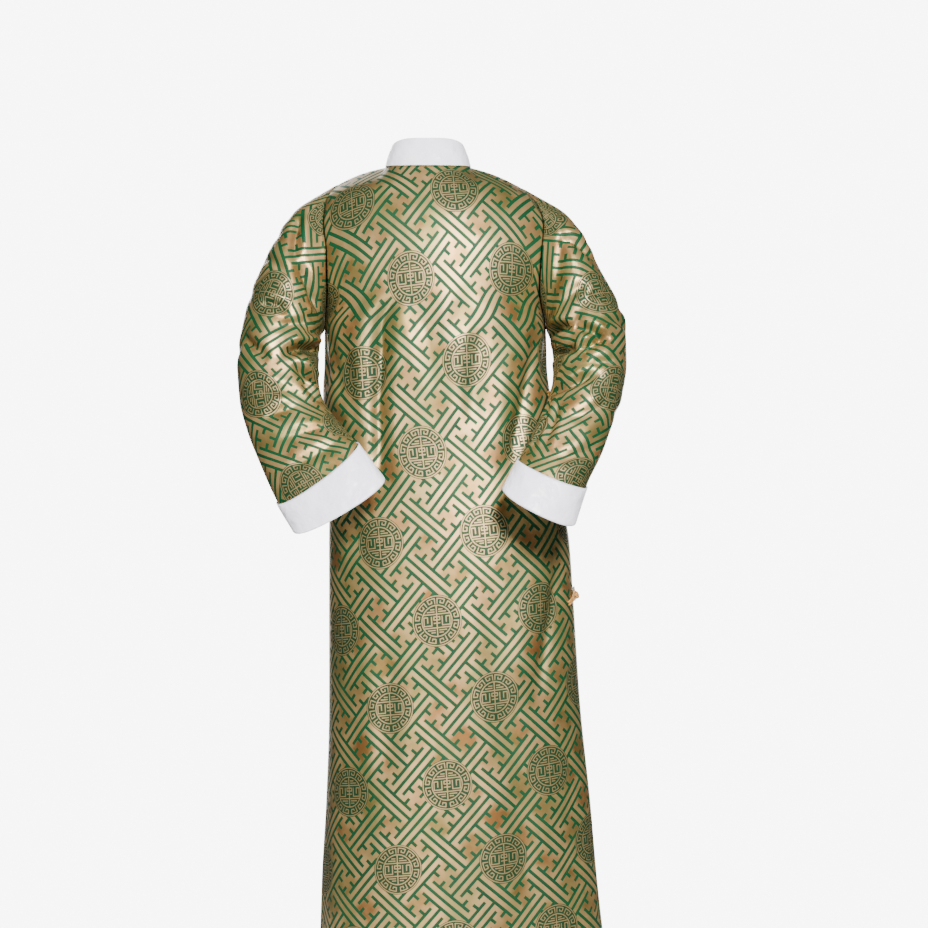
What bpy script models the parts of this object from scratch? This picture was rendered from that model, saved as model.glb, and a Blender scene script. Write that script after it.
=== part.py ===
"""Chinese long gown (changshan) of brocade, in the hollow shape it has when worn.

Metres, +Z up. The front faces -Y and the wearer's left side is at +X.
The origin is the middle of the neck opening, level with the foot of the collar.
"""
import math
from collections import namedtuple

import bmesh
import bpy
import numpy as np
from mathutils import Vector

GOWN = "long_gown"

# Driving sizes
WALL = 0.002
SEAM = 0.0003
UNDERARM = 0.278
SLIT_TOP = 0.745
HEM = 1.360
SLIT_SPREAD = 0.022
NECK_SHARE = 0.5
COLLAR_HEIGHT = 0.047
COLLAR_FALL = 0.011
COLLAR_LEAN = 0.34
COLLAR_FORWARD = 0.10
COLLAR_OPENING = 0.008
COLLAR_CORNER = 0.022
LAP = 0.0074
LAP_AT_SEAM = 0.0027
LAP_RAMP = 0.045
LAP_LEAD = 0.020
UNDER_FRONT_END = 0.80
UNDER_FRONT_EDGE = 0.3
SIDE_STEP = 0.1
SIDE_WIDTH = 0.33
FOLD_SPAN = 0.24
CUFF_CLEAR = 0.0007
CUFF_BEND = 0.0035
CORD = 0.0040
CORD_CLEAR = 0.0006
CORD_APART = 0.0002
LOOP = 0.0064
KNOT = 0.010
KNOT_LIFT = 0.0012
FROG_ARM = 0.036

# How finely the cloth is divided
QUARTER_COLUMNS = 10
YOKE_ROWS = (0, .018, .038, .060, .084, .108, .132, .156, .180, .205, .230, .254, UNDERARM)
SKIRT_ROWS = (.300, .330, .362, .394, .43, .47, .51, .55, .60, .65, .70, SLIT_TOP,
              .80, .86, .92, .98, 1.04, 1.10, 1.16, 1.22, 1.28, 1.325, HEM)
ROWS = YOKE_ROWS + SKIRT_ROWS
DRIFT_ROW = ROWS.index(.47)

# Centre lines of the back and of the front down to the underarm
Centre = namedtuple("Centre", "down x back_y back_z front_y front_z turn")
CENTRES = (
    Centre(.050, -.002, .086, -.046, -.086, -.102, 62),
    Centre(.100, -.006, .108, -.098, -.106, -.142, 60),
    Centre(.155, -.010, .119, -.156, -.119, -.186, 60),
    Centre(.215, -.012, .121, -.218, -.127, -.236, 72),
)

# Armhole edges, from the shoulder point to the underarm
Edge = namedtuple("Edge", "x_back y_back z_back x_front y_front z_front")
SHOULDER = {1: (.152, -.004, -.031), -1: (-.158, -.004, -.037)}
ARMHOLES = {
    1: (
        Edge(.169, .034, -.062, .157, -.038, -.064),
        Edge(.172, .060, -.102, .148, -.066, -.104),
        Edge(.1665, .073, -.152, .142, -.078, -.152),
        Edge(.166, .058, -.212, .150, -.064, -.212),
    ),
    -1: (
        Edge(-.182, .034, -.068, -.166, -.038, -.068),
        Edge(-.192, .060, -.108, -.162, -.066, -.108),
        Edge(-.188, .073, -.157, -.160, -.078, -.155),
        Edge(-.185, .058, -.214, -.170, -.064, -.214),
    ),
}

# Level sections from the underarm to the hem
Section = namedtuple("Section", "down x half_width back_y front_y")
SECTIONS = (
    Section(UNDERARM, -.0125, .186, .119, .129),
    Section(.34, -.0140, .186, .117, .130),
    Section(.40, -.0155, .192, .114, .129),
    Section(.47, -.0220, .194, .115, .129),
    Section(.56, -.0300, .195, .122, .131),
    Section(.63, -.0355, .2015, .128, .133),
    Section(.73, -.0390, .205, .133, .136),
    Section(.905, -.0445, .2105, .139, .142),
    Section(1.066, -.0500, .221, .146, .150),
    Section(1.187, -.0515, .2295, .152, .156),
    Section(1.280, -.0550, .236, .157, .161),
    Section(HEM, -.0590, .243, .161, .166),
)
SECTION_POWER = 0.83

# Neck opening, at the foot of the collar
NECK_SIDE = (.0705, .000, -.003)
NECK_BACK = (.000, .058, -.008)
NECK_FRONT = (.000, -.066, -.070)
SHOULDER_BULGE = 0.004

# Upper edge of the large front, from the neck to the right side seam
Closure = namedtuple("Closure", "across down")
CLOSURE = (
    Closure(.00, .000),
    Closure(-.12, .022),
    Closure(-.30, .062),
    Closure(-.50, .112),
    Closure(-.70, .172),
    Closure(-.86, .238),
    Closure(-1.00, .296),
)

# Sleeve sections, each given by its outer and inner point, its depth and how far
# its back leads down the arm
Ring = namedtuple("Ring", "along outer_x outer_z inner_x inner_z y depth lead")
ARMS = {
    1: (
        Ring(.060, .219, -.078, .1790, -.289, .014, .074, -.010),
        Ring(.110, .250, -.126, .1800, -.300, .029, .072, -.014),
        Ring(.160, .2745, -.176, .1800, -.313, .042, .069, -.016),
        Ring(.210, .2930, -.2265, .1800, -.329, .054, .065, -.016),
        Ring(.260, .3050, -.280, .1800, -.347, .066, .061, -.014),
        Ring(.310, .3110, -.338, .1780, -.369, .081, .058, -.008),
        Ring(.360, .3060, -.397, .1700, -.397, .098, .055, .000),
        Ring(.410, .2920, -.4466, .1530, -.421, .118, .050, .006),
        Ring(.460, .2700, -.498, .1330, -.444, .140, .045, .010),
        Ring(.520, .2400, -.5596, .1125, -.467, .166, .038, .014),
        Ring(.590, .2066, -.6117, .0651, -.529, .192, .036, .014),
    ),
    -1: (
        Ring(.060, -.232, -.086, -.2040, -.291, .014, .074, -.010),
        Ring(.110, -.261, -.128, -.2060, -.301, .029, .072, -.014),
        Ring(.160, -.285, -.178, -.2075, -.314, .042, .069, -.016),
        Ring(.210, -.3105, -.228, -.2080, -.328, .055, .066, -.016),
        Ring(.260, -.3270, -.280, -.2080, -.344, .069, .063, -.014),
        Ring(.310, -.3270, -.336, -.2060, -.366, .085, .062, -.008),
        Ring(.360, -.3180, -.390, -.1980, -.394, .104, .061, .000),
        Ring(.410, -.3020, -.434, -.1860, -.424, .124, .058, .006),
        Ring(.460, -.2840, -.482, -.1700, -.455, .145, .055, .008),
        Ring(.520, -.2577, -.5338, -.1500, -.491, .172, .051, .009),
        Ring(.590, -.2343, -.5992, -.1220, -.543, .199, .050, .012),
    ),
}
SLEEVE_ROWS = (0, .020, .042, .066, .092, .118, .145, .170, .194, .216, .236, .256, .276,
               .296, .316, .336, .358, .382, .410, .440, .475, .500, .525, .555, .585)
COLLAR_ROWS = (0, .25, .5, .75, 1)
CUFF_ROWS = (.525, .555, .585)
CUFF_INSIDE = .560

# Largest folds of the body, along a line from a start to an end
Fold = namedtuple("Fold", "side across down to_across to_down width depth")
BODY_FOLDS = (
    Fold(1, .33, .22, .38, .34, .016, .0070),
    Fold(1, .37, .29, .415, .54, .017, .0095),
    Fold(1, -.74, .29, -.42, .51, .016, .0070),
    Fold(1, -.71, .66, -.47, .885, .019, .0065),
    Fold(1, .93, .27, .80, .37, .014, .0045),
    Fold(1, -.93, .27, -.80, .37, .014, .0045),
    Fold(-1, .52, .32, .46, .52, .017, .0050),
    Fold(-1, -.50, .33, -.44, .50, .018, .0050),
    Fold(-1, .90, .27, .74, .36, .014, .0050),
)

# Largest folds of the sleeves; round runs from 0 at the outer line over the back
Crease = namedtuple("Crease", "arm round along to_round to_along width depth")
ARM_CREASES = (
    Crease(1, .268, .288, .48, .185, .0120, .0095),
    Crease(1, .310, .295, .47, .325, .0110, .0060),
    Crease(1, .088, .055, .212, .100, .0150, .0050),
    Crease(1, .212, .100, .370, .055, .0150, .0060),
    Crease(1, .083, .277, .233, .297, .0130, .0050),
    Crease(1, .740, .292, .530, .200, .0120, .0070),
    Crease(-1, .460, .090, .290, .211, .0120, .0070),
    Crease(-1, .290, .211, .210, .276, .0120, .0060),
    Crease(-1, .470, .190, .300, .255, .0130, .0090),
    Crease(-1, .305, .273, .173, .271, .0110, .0055),
    Crease(-1, .470, .350, .220, .324, .0120, .0060),
    Crease(-1, .195, .060, .062, .153, .0140, .0045),
    Crease(-1, .740, .292, .530, .200, .0120, .0070),
)
CREASE_STEPS = 9

# Soft flutes of the skirt
FLUTE_START = 0.55
FLUTE_DEPTH = 0.0055
FLUTES = 7

# Frogs: where each one crosses the opening, and the way its arms run
Frog = namedtuple("Frog", "name across down arm_across arm_down")
FROGS = (
    Frog("neck", -.16, .031, .76, .65),
    Frog("chest", -.55, .127, .78, .62),
    Frog("underarm", -1.03, .385, 1.0, .00),
    Frog("waist", -1.07, .520, 1.0, -.12),
    Frog("hip", -1.10, .722, 1.0, -.30),
)


def clear_scene():
    for thing in list(bpy.data.objects):
        bpy.data.objects.remove(thing, do_unlink=True)


def finish_material(name, colour, roughness, metallic=0.0, sheen=0.0):
    material = bpy.data.materials.new(name)
    material.use_nodes = True
    shader = material.node_tree.nodes["Principled BSDF"]
    shader.inputs["Base Color"].default_value = (*colour, 1.0)
    shader.inputs["Roughness"].default_value = roughness
    shader.inputs["Metallic"].default_value = metallic
    shader.inputs["Sheen Weight"].default_value = sheen
    return material


def brocade():
    return finish_material("green_gold_brocade", (.19, .21, .07), .45, 0.15, 0.2)


def white_satin():
    return finish_material("white_satin", (.86, .85, .88), .38, 0.0, 0.3)


def gold_cord():
    return finish_material("gold_cord", (.80, .47, .11), .5)


def unit(vectors):
    return vectors / np.maximum(np.linalg.norm(vectors, axis=-1, keepdims=True), 1e-12)


def smooth(values):
    values = np.clip(values, 0, 1)
    return values * values * (3 - 2 * values)


def spaced(points, shares):
    """Points at the given shares of a polyline's length."""
    steps = np.linalg.norm(np.diff(points, axis=0), axis=1)
    run = np.concatenate([[0], np.cumsum(steps)])
    run /= run[-1]
    return np.stack([np.interp(shares, run, points[:, k]) for k in range(3)], axis=-1)


def quarter_curve(centre, edge, turn, power):
    """Half of one level line, from its centre to the armhole or side seam."""
    angle = np.linspace(0, 1, 160) * math.radians(turn)
    last = math.radians(turn)
    out = (np.sin(angle) / math.sin(last)) ** power
    fall = 1 - np.maximum(np.cos(angle), 0) ** power
    fall /= 1 - max(math.cos(last), 0) ** power
    centre, edge = np.array(centre), np.array(edge)
    return np.stack([
        centre[0] + (edge[0] - centre[0]) * out,
        centre[1] + (edge[1] - centre[1]) * fall,
        centre[2] + (edge[2] - centre[2]) * out ** 2,
    ], axis=-1)


def top_line(half, side, shares):
    """The neck opening and then the shoulder seam."""
    low = NECK_BACK if half > 0 else NECK_FRONT
    angle = np.linspace(0, math.pi / 2, 80)
    rise = 1 - np.cos(angle) ** (1.0 if half > 0 else 1.35)
    neck = np.stack([
        side * NECK_SIDE[0] * np.sin(angle) ** .92,
        low[1] * np.cos(angle) ** .92,
        low[2] + (NECK_SIDE[2] - low[2]) * rise,
    ], axis=-1)
    along = np.linspace(0, 1, 40)[:, None]
    start = np.array(NECK_SIDE) * (side, 1, 1)
    shoulder = start + (np.array(SHOULDER[side]) - start) * along
    shoulder[:, 2] += SHOULDER_BULGE * np.sin(along[:, 0] * math.pi)
    on_neck = spaced(neck, shares / NECK_SHARE)
    on_shoulder = spaced(shoulder, (shares - NECK_SHARE) / (1 - NECK_SHARE))
    return np.where((shares < NECK_SHARE)[:, None], on_neck, on_shoulder)


def level_lines(half, side, shares):
    """Every level line of one quarter of the body, at the given shares."""
    lines = [top_line(half, side, shares)]
    for centre, edge in zip(CENTRES, ARMHOLES[side]):
        if half > 0:
            middle = (centre.x, centre.back_y, centre.back_z)
            end = (edge.x_back, edge.y_back, edge.z_back)
        else:
            middle = (centre.x, centre.front_y, centre.front_z)
            end = (edge.x_front, edge.y_front, edge.z_front)
        lines.append(spaced(quarter_curve(middle, end, centre.turn, 1.0), shares))
    for row in SECTIONS:
        middle = (row.x, row.back_y if half > 0 else -row.front_y, -row.down)
        end = (row.x + side * row.half_width, 0, -row.down)
        lines.append(spaced(quarter_curve(middle, end, 90, SECTION_POWER), shares))
    return np.array(lines)


LEVELS = np.array([0.0] + [c.down for c in CENTRES] + [s.down for s in SECTIONS])


def between(knots, lines, where):
    """Smooth curve through the lines that never overshoots them, read at each place."""
    gaps = np.diff(knots)
    slopes = np.diff(lines, axis=0) / gaps[:, None, None]
    tangents = np.empty_like(lines)
    tangents[0], tangents[-1] = slopes[0], slopes[-1]
    weight = ((gaps[:-1] + 2 * gaps[1:]) / (3 * (gaps[:-1] + gaps[1:])))[:, None, None]
    before, after = slopes[:-1], slopes[1:]
    same = before * after > 0
    spread = np.where(same, (1 - weight) * before + weight * after, 1)
    tangents[1:-1] = np.where(same, before * after / spread, 0)
    cell = np.clip(np.searchsorted(knots, where, side="right") - 1, 0, len(knots) - 2)
    column = np.broadcast_to(np.arange(where.shape[1]), where.shape)
    gap = gaps[cell][..., None]
    f = (where[..., None] - knots[cell][..., None]) / gap
    a, b = lines[cell, column], lines[cell + 1, column]
    ta, tb = tangents[cell, column] * gap, tangents[cell + 1, column] * gap
    return (a * (2 * f ** 3 - 3 * f ** 2 + 1) + ta * (f ** 3 - 2 * f ** 2 + f)
            + b * (3 * f ** 2 - 2 * f ** 3) + tb * (f ** 3 - f ** 2))


def body_points(half, across, down):
    """Outer face of the body. across runs from -1 at the right side to 1 at the left,
    and past a side it goes on round to the other half."""
    wrapped = np.abs(across) > 1
    halves = np.where(wrapped, -half, half)
    inside = np.where(wrapped, np.sign(across) * (2 - np.abs(across)), across)
    points = np.empty(down.shape + (3,))
    for h in (-1, 1):
        for side in (-1, 1):
            mine = (halves == h) & ((inside >= 0) if side > 0 else (inside < 0))
            if mine.any():
                lines = level_lines(h, side, np.abs(inside[mine]))
                points[:, mine] = between(LEVELS, lines, down[:, mine])
    return points


def raw_normals(half, across, down):
    """Outward directions of the body, across the side seams but not the armholes."""
    step = .006
    ahead, behind = across + step, across - step
    wide = body_points(half, ahead, down) - body_points(half, behind, down)
    held = (body_points(half, np.clip(ahead, -1, 1), down)
            - body_points(half, np.clip(behind, -1, 1), down))
    sideways = np.where((down >= UNDERARM - 1e-6)[..., None], wide, held)
    fall = (body_points(half, across, np.minimum(down + .003, HEM))
            - body_points(half, across, np.maximum(down - .003, 0)))
    return unit(np.cross(sideways, fall) * half)


def fold_height(across, down, half):
    """How far the folds and flutes stand out of the plain surface."""
    height = np.zeros_like(down)
    width = np.interp(down, [s.down for s in SECTIONS], [1.25 * s.half_width for s in SECTIONS])
    for fold in BODY_FOLDS:
        if fold.side != half:
            continue
        run_x = (fold.to_across - fold.across) * FOLD_SPAN
        run_y = fold.to_down - fold.down
        length = math.hypot(run_x, run_y)
        dx = (across - fold.across) * width
        dy = down - fold.down
        share = (dx * run_x + dy * run_y) / length ** 2
        off = (dx * run_y - dy * run_x) / length
        ends = smooth((share + .15) / .4) * smooth((1.15 - share) / .4)
        trough = np.exp(-(off / fold.width) ** 2)
        ridge = np.exp(-((off - 1.9 * fold.width) / (1.3 * fold.width)) ** 2)
        height += fold.depth * ends * (.55 * ridge - trough)
    ramp = smooth((down - FLUTE_START) / (HEM - FLUTE_START))
    turn = across * half * math.pi / 2
    wave = np.sin(FLUTES * turn / 2 + .9 * half) + .5 * np.sin(FLUTES * turn * .83 + 2.1)
    edge = smooth((1 - np.abs(across)) / .16)
    return height * smooth((down - .2) / .06) + FLUTE_DEPTH * ramp * wave * edge


def arm_loop(arm, rounds):
    """The armhole as the sleeve meets it, from the shoulder point round the back."""
    share = np.where(rounds <= .5, rounds * 2, 2 - rounds * 2)
    down = (share * UNDERARM)[None, :]
    sides = np.full(rounds.shape, float(arm))
    back = body_points(1, sides, down)[0]
    front = body_points(-1, sides, down)[0]
    return np.where((rounds <= .5)[:, None], back, front)


def arm_lines(arm, rounds):
    """The armhole and then each sleeve section, at the given shares round it."""
    angle = rounds * 2 * math.pi
    lines = [arm_loop(arm, rounds)]
    rings = ARMS[arm]
    for k, ring in enumerate(rings):
        before, after = rings[max(k - 1, 0)], rings[min(k + 1, len(rings) - 1)]
        run = np.array([after.outer_x + after.inner_x - before.outer_x - before.inner_x, 0,
                        after.outer_z + after.inner_z - before.outer_z - before.inner_z])
        run /= np.linalg.norm(run)
        outer = np.array([ring.outer_x, ring.y, ring.outer_z])
        inner = np.array([ring.inner_x, ring.y, ring.inner_z])
        centre, reach = (outer + inner) / 2, (outer - inner) / 2
        back = np.array([0, ring.depth, 0]) + run * ring.lead
        cosine = np.sign(np.cos(angle)) * np.abs(np.cos(angle)) ** .92
        sine = np.sign(np.sin(angle)) * np.abs(np.sin(angle)) ** .92
        lines.append(centre + reach * cosine[:, None] + back * sine[:, None])
    return np.array(lines)


def arm_points(arm, rounds, along):
    knots = np.array([0.0] + [ring.along for ring in ARMS[arm]])
    return between(knots, arm_lines(arm, rounds % 1.0), along)


def arm_normals(arm, rounds, along):
    last = ARMS[arm][-1].along
    around = arm_points(arm, rounds + .01, along) - arm_points(arm, rounds - .01, along)
    run = (arm_points(arm, rounds, np.minimum(along + .004, last))
           - arm_points(arm, rounds, np.maximum(along - .004, 0)))
    return unit(np.cross(around, run) * -arm)


def line_offset(points, line):
    """How far along a line each point lies, from 0 to 1, and how far off the line."""
    run = np.diff(line, axis=0)
    reach = points[..., None, :] - line[:-1]
    share = np.clip((reach * run).sum(axis=-1) / (run ** 2).sum(axis=-1), 0, 1)
    gaps = np.linalg.norm(reach - run * share[..., None], axis=-1)
    nearest = gaps.argmin(axis=-1)[..., None]
    place = (nearest + np.take_along_axis(share, nearest, axis=-1)) / len(run)
    return place[..., 0], np.take_along_axis(gaps, nearest, axis=-1)[..., 0]


def crease_height(arm, rounds, along, points):
    """How far the folds of a sleeve stand out of its plain surface."""
    height = np.zeros(along.shape)
    steps = np.linspace(0, 1, CREASE_STEPS)
    for crease in ARM_CREASES:
        if crease.arm != arm:
            continue
        turn = crease.to_round - crease.round
        fall = crease.to_along - crease.along
        line = arm_points(arm, crease.round + turn * steps, (crease.along + fall * steps)[None])[0]
        place, gap = line_offset(points, line)
        ahead = (rounds - crease.round + .5) % 1 - .5
        above = (ahead * fall - (along - crease.along) * turn) * turn > 0
        off = np.where(above, gap, -gap) / crease.width
        ends = smooth((place + .05) / .35) * smooth((1.05 - place) / .35)
        upper_lip = np.exp(-((off - 2.1) / 1.3) ** 2)
        lower_lip = np.exp(-((off + 2.1) / 1.3) ** 2)
        height += crease.depth * ends * (.55 * upper_lip + .3 * lower_lip - np.exp(-off ** 2))
    return height * smooth(along / .06)


def neck_outward(points):
    """Level direction out of the neck."""
    return unit(points * (1, 1, 0))


def body_grid(half, across, down):
    """Points and outward directions of the body, with directions shared at each seam."""
    points = body_points(half, across, down)
    normals = raw_normals(half, across, down)
    other = raw_normals(-half, across, down)
    columns = np.broadcast_to(np.abs(across), down.shape)
    corner = np.abs(down - UNDERARM) < 1e-6
    joined = (columns > .999) & ((down >= UNDERARM) | corner | (down < .001))
    normals = np.where(joined[..., None], unit(normals + other), normals)
    top = down < .001
    shoulder = top & (columns >= NECK_SHARE - 1e-6)
    neck = top & (columns < NECK_SHARE + 1e-6)
    normals = np.where(shoulder[..., None], unit(normals + other), normals)
    normals = np.where(neck[..., None], unit(normals + neck_outward(points)), normals)
    for arm in (1, -1):
        edge = across * arm > .999
        if not edge.any():
            continue
        share = np.clip(down[:, edge][:, :1] / UNDERARM, 0, 1)[:, 0]
        rounds = share / 2 if half > 0 else 1 - share / 2
        sleeve = arm_normals(arm, rounds, np.zeros((1, len(rounds))))[0]
        upper = down[:, edge] < UNDERARM + 1e-6
        shared = unit(normals[:, edge] + sleeve[:, None, :])
        normals[:, edge] = np.where(upper[..., None], shared, normals[:, edge])
    height = fold_height(across, down, half)
    seam = smooth((1 - columns) / .08)
    return points + normals * (height * seam)[..., None], normals


def sleeve_grid(arm, rounds, along):
    points = arm_points(arm, rounds, along)
    normals = arm_normals(arm, rounds, along)
    share = np.where(rounds <= .5, rounds * 2, 2 - rounds * 2)
    down = (share * UNDERARM)[None, :]
    sides = np.full(rounds.shape, float(arm))
    back = raw_normals(1, sides, down)[0]
    front = raw_normals(-1, sides, down)[0]
    body = np.where((rounds <= .5)[:, None], back, front)
    ends = (share < 1e-6) | (share > 1 - 1e-6)
    body[ends] = unit(back + front)[ends]
    at_seam = (along < .001)[..., None]
    normals = np.where(at_seam, unit(normals + body[None]), normals)
    height = crease_height(arm, rounds, along, points)
    return points + normals * height[..., None], normals


def rim(form, ends):
    """The cut edge of a wall, split the same way on both sides of a seam."""
    (a, b), (c, d) = sorted(ends, key=lambda pair: -pair[0].co.z)
    form.faces.new((a, c, d))
    form.faces.new((a, d, b))


def cloth(name, outer, inner, material, closed=False):
    """A closed wall between an outer and an inner grid of points."""
    mesh = bpy.data.meshes.new(name)
    form = bmesh.new()
    rows, columns = outer.shape[:2]
    skins = [[[form.verts.new(p) for p in row] for row in grid.tolist()]
             for grid in (outer, inner)]
    last = columns if closed else columns - 1
    for r in range(rows - 1):
        for c in range(last):
            d = (c + 1) % columns
            a, b = skins
            form.faces.new((a[r][c], a[r + 1][c], a[r + 1][d], a[r][d]))
            form.faces.new((b[r][c], b[r][d], b[r + 1][d], b[r + 1][c]))
    for c in range(last):
        d = (c + 1) % columns
        for r in (0, rows - 1):
            rim(form, [(skins[0][r][k], skins[1][r][k]) for k in (c, d)])
    if not closed:
        for r in range(rows - 1):
            for c in (0, columns - 1):
                rim(form, [(skins[0][k][c], skins[1][k][c]) for k in (r, r + 1)])
    bmesh.ops.recalc_face_normals(form, faces=form.faces)
    form.to_mesh(mesh)
    form.free()
    mesh.shade_smooth()
    mesh.set_sharp_from_angle(angle=math.radians(50))
    mesh.materials.append(material)
    piece = bpy.data.objects.new(name, mesh)
    bpy.data.collections[GOWN].objects.link(piece)
    return piece


def slit_share(down):
    """How much each side edge draws back below the top of the slits."""
    spread = SLIT_SPREAD * smooth((down - SLIT_TOP) / (HEM - SLIT_TOP))
    corner = np.exp(-((down - UNDERARM) / .02) ** 2)
    return (SEAM * (.75 + corner) + spread / 2) / SIDE_WIDTH


def panel_points(half, across, down, pull_back=True):
    """A body panel's points, its side edges drawn back from the seam."""
    points, normals = body_grid(half, across, down)
    if pull_back:
        for c in (0, len(across) - 1):
            if abs(across[c]) < .999:
                continue
            share = slit_share(down[:, c])[:, None]
            nearer = across[[c]] * (1 - SIDE_STEP)
            inward = body_grid(half, nearer, down[:, [c]])[0][:, 0] - points[:, c]
            points[:, c] += inward * share / SIDE_STEP
    return points, normals


def seam_rows(rows):
    """Row places with the first one just below the shoulder seam."""
    rows = np.array(rows, dtype=float)
    rows[0] = SEAM / 2
    return rows


def build_back(material):
    across = np.linspace(-1, 1, 2 * QUARTER_COLUMNS + 1)
    down = np.repeat(seam_rows(ROWS)[:, None], len(across), axis=1)
    points, normals = panel_points(1, across, down)
    return cloth("back", points, points - normals * WALL, material)


def closure_down(across):
    """How far down the large front's upper edge lies."""
    places = np.array([c.across for c in CLOSURE[::-1]])
    downs = np.array([c.down for c in CLOSURE[::-1]])
    return np.where(across < 0, np.interp(across, places, downs), 0.0)


def build_front_outer(material):
    across = np.linspace(-1, 1, 2 * QUARTER_COLUMNS + 1)
    base = seam_rows(ROWS)
    start = closure_down(across)
    down = np.repeat(base[:, None], len(across), axis=1)
    end = base[DRIFT_ROW]
    upper = base[:DRIFT_ROW, None] / end
    down[:DRIFT_ROW] = np.maximum(start, SEAM / 2) + (end - start) * upper
    points, normals = panel_points(-1, across, down)
    return cloth("front_outer", points, points - normals * WALL, material)


def lap_depth(across, down):
    """How deep the under-front lies below the outer face."""
    line = closure_down(across)[None, :]
    inside = np.maximum(smooth((across + 1) / .12)[None, :], smooth((.37 - down) / .06))
    full = LAP_AT_SEAM + (LAP - LAP_AT_SEAM) * inside
    depth = full * smooth((down - line + LAP_LEAD) / LAP_RAMP + 1)
    free = (across < -.3)[None, :]
    return np.where(free, depth * smooth(down / .05), depth)


def build_front_inner(material):
    columns = QUARTER_COLUMNS + round(UNDER_FRONT_EDGE * QUARTER_COLUMNS) + 1
    across = np.linspace(-1, UNDER_FRONT_EDGE, columns)
    rows = seam_rows([r for r in ROWS if r <= UNDER_FRONT_END])
    down = np.repeat(rows[:, None], columns, axis=1)
    points, normals = panel_points(-1, across, down)
    points = points - raw_normals(-1, across, down) * lap_depth(across, down)[..., None]
    return cloth("front_inner", points, points - normals * WALL, material)


def sleeve_rounds():
    count = 2 * (len(YOKE_ROWS) - 1)
    down = np.array(YOKE_ROWS) / UNDERARM / 2
    return np.concatenate([down, 1 - down[-2:0:-1]]), count


def build_sleeve(name, arm, material):
    rounds, count = sleeve_rounds()
    rows = np.array(SLEEVE_ROWS)
    along = np.repeat(rows[:, None], count, axis=1)
    points, normals = sleeve_grid(arm, rounds, along)
    points[0] += unit(points[1] - points[0]) * SEAM * 1.5
    return cloth(name, points, points - normals * WALL, material, closed=True)


def cuff_paths(arm, rounds):
    """The mid line of the turned-back cuff: up the outside, round the end, inside."""
    lift = CUFF_CLEAR + WALL / 2
    sink = WALL + CUFF_CLEAR + WALL / 2
    steps = [(v, lift) for v in CUFF_ROWS]
    middle, radius = (lift - sink) / 2, (lift + sink) / 2
    for angle in (45, 90, 135):
        turn = math.radians(angle)
        steps.append((CUFF_ROWS[-1] + CUFF_BEND * math.sin(turn), middle + radius * math.cos(turn)))
    steps += [(CUFF_ROWS[-1], -sink), (CUFF_INSIDE, -sink)]
    lines = []
    for along, height in steps:
        place = np.full((1, len(rounds)), min(along, CUFF_ROWS[-1]))
        points, normals = sleeve_grid(arm, rounds, place)
        run = unit(points[0] - sleeve_grid(arm, rounds, place - .02)[0][0])
        lines.append(points[0] + normals[0] * height + run * max(along - CUFF_ROWS[-1], 0))
    return np.array(lines)


def build_cuff(name, arm, material):
    rounds, count = sleeve_rounds()
    path = cuff_paths(arm, rounds)
    run = unit(np.gradient(path, axis=0))
    around = unit(np.roll(path, -1, axis=1) - np.roll(path, 1, axis=1))
    normals = unit(np.cross(around, run) * -arm)
    outer, inner = path + normals * WALL / 2, path - normals * WALL / 2
    return cloth(name, outer, inner, material, closed=True)


def collar_foot():
    """The neckline of the panels, from its left front end to its right front end."""
    steps = np.linspace(0, NECK_SHARE, round(NECK_SHARE * QUARTER_COLUMNS) + 1)
    ring = []
    for half, side, order in ((-1, 1, 1), (1, 1, -1), (1, -1, 1), (-1, -1, -1)):
        across = side * np.maximum(steps, 1e-5)
        part = body_points(half, across, np.zeros((1, len(steps))))[0][::order]
        ring.append(part if not ring else part[1:])
    corners = np.concatenate(ring)
    foot = np.empty((2 * len(corners) - 1, 3))
    foot[::2] = corners
    foot[1::2] = (corners[1:] + corners[:-1]) / 2
    for end, near in ((0, 1), (-1, -2)):
        foot[end] += unit(foot[near] - foot[end]) * COLLAR_OPENING / 2
    return foot


def build_collar(material):
    foot = collar_foot()
    out = neck_outward(foot)
    steps = np.concatenate([[0], np.cumsum(np.linalg.norm(np.diff(foot, axis=0), axis=1))])
    ends = np.minimum(steps, steps[-1] - steps)
    corner = np.clip(1 - ends / COLLAR_CORNER, 0, 1)
    height = COLLAR_HEIGHT - COLLAR_CORNER * (1 - np.sqrt(1 - corner ** 2))
    height -= COLLAR_FALL * smooth((NECK_BACK[1] - foot[:, 1]) / NECK_BACK[1])
    forward = smooth(-foot[:, 1] / -NECK_FRONT[1])
    points = []
    for share in COLLAR_ROWS:
        rise = height * share + 2 * SEAM
        spot = foot - out * (COLLAR_LEAN * rise)[:, None]
        spot[:, 1] += COLLAR_FORWARD * forward * rise
        spot[:, 2] += rise
        points.append(spot)
    points = np.array(points)
    normals = unit(out + np.array([0, 0, COLLAR_LEAN]))
    return cloth("collar", points, points - normals * WALL, material)


def front_spot(across, down):
    """A point of the front's outer face, or of the back's beyond the right side."""
    half, place = (-1, across) if across > -1 else (1, -2 - across)
    spot, normal = body_grid(half, np.array([place]), np.array([[max(down, .0005)]]))
    return spot[0, 0], normal[0, 0]


def frog_frame(frog):
    """The frog's centre, its arm and cross directions, and how the cloth runs there."""
    step = .01
    spot, normal = front_spot(frog.across, frog.down)
    ahead = front_spot(frog.across + step, frog.down)[0]
    behind = front_spot(frog.across - step, frog.down)[0]
    by_across = (ahead - behind) / (2 * step)
    below = front_spot(frog.across, frog.down + step)[0]
    by_down = (below - spot) / step
    arm = unit(unit(by_across) * frog.arm_across + unit(by_down) * frog.arm_down)
    return arm, np.cross(normal, arm), np.stack([by_across, by_down], axis=1)


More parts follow.
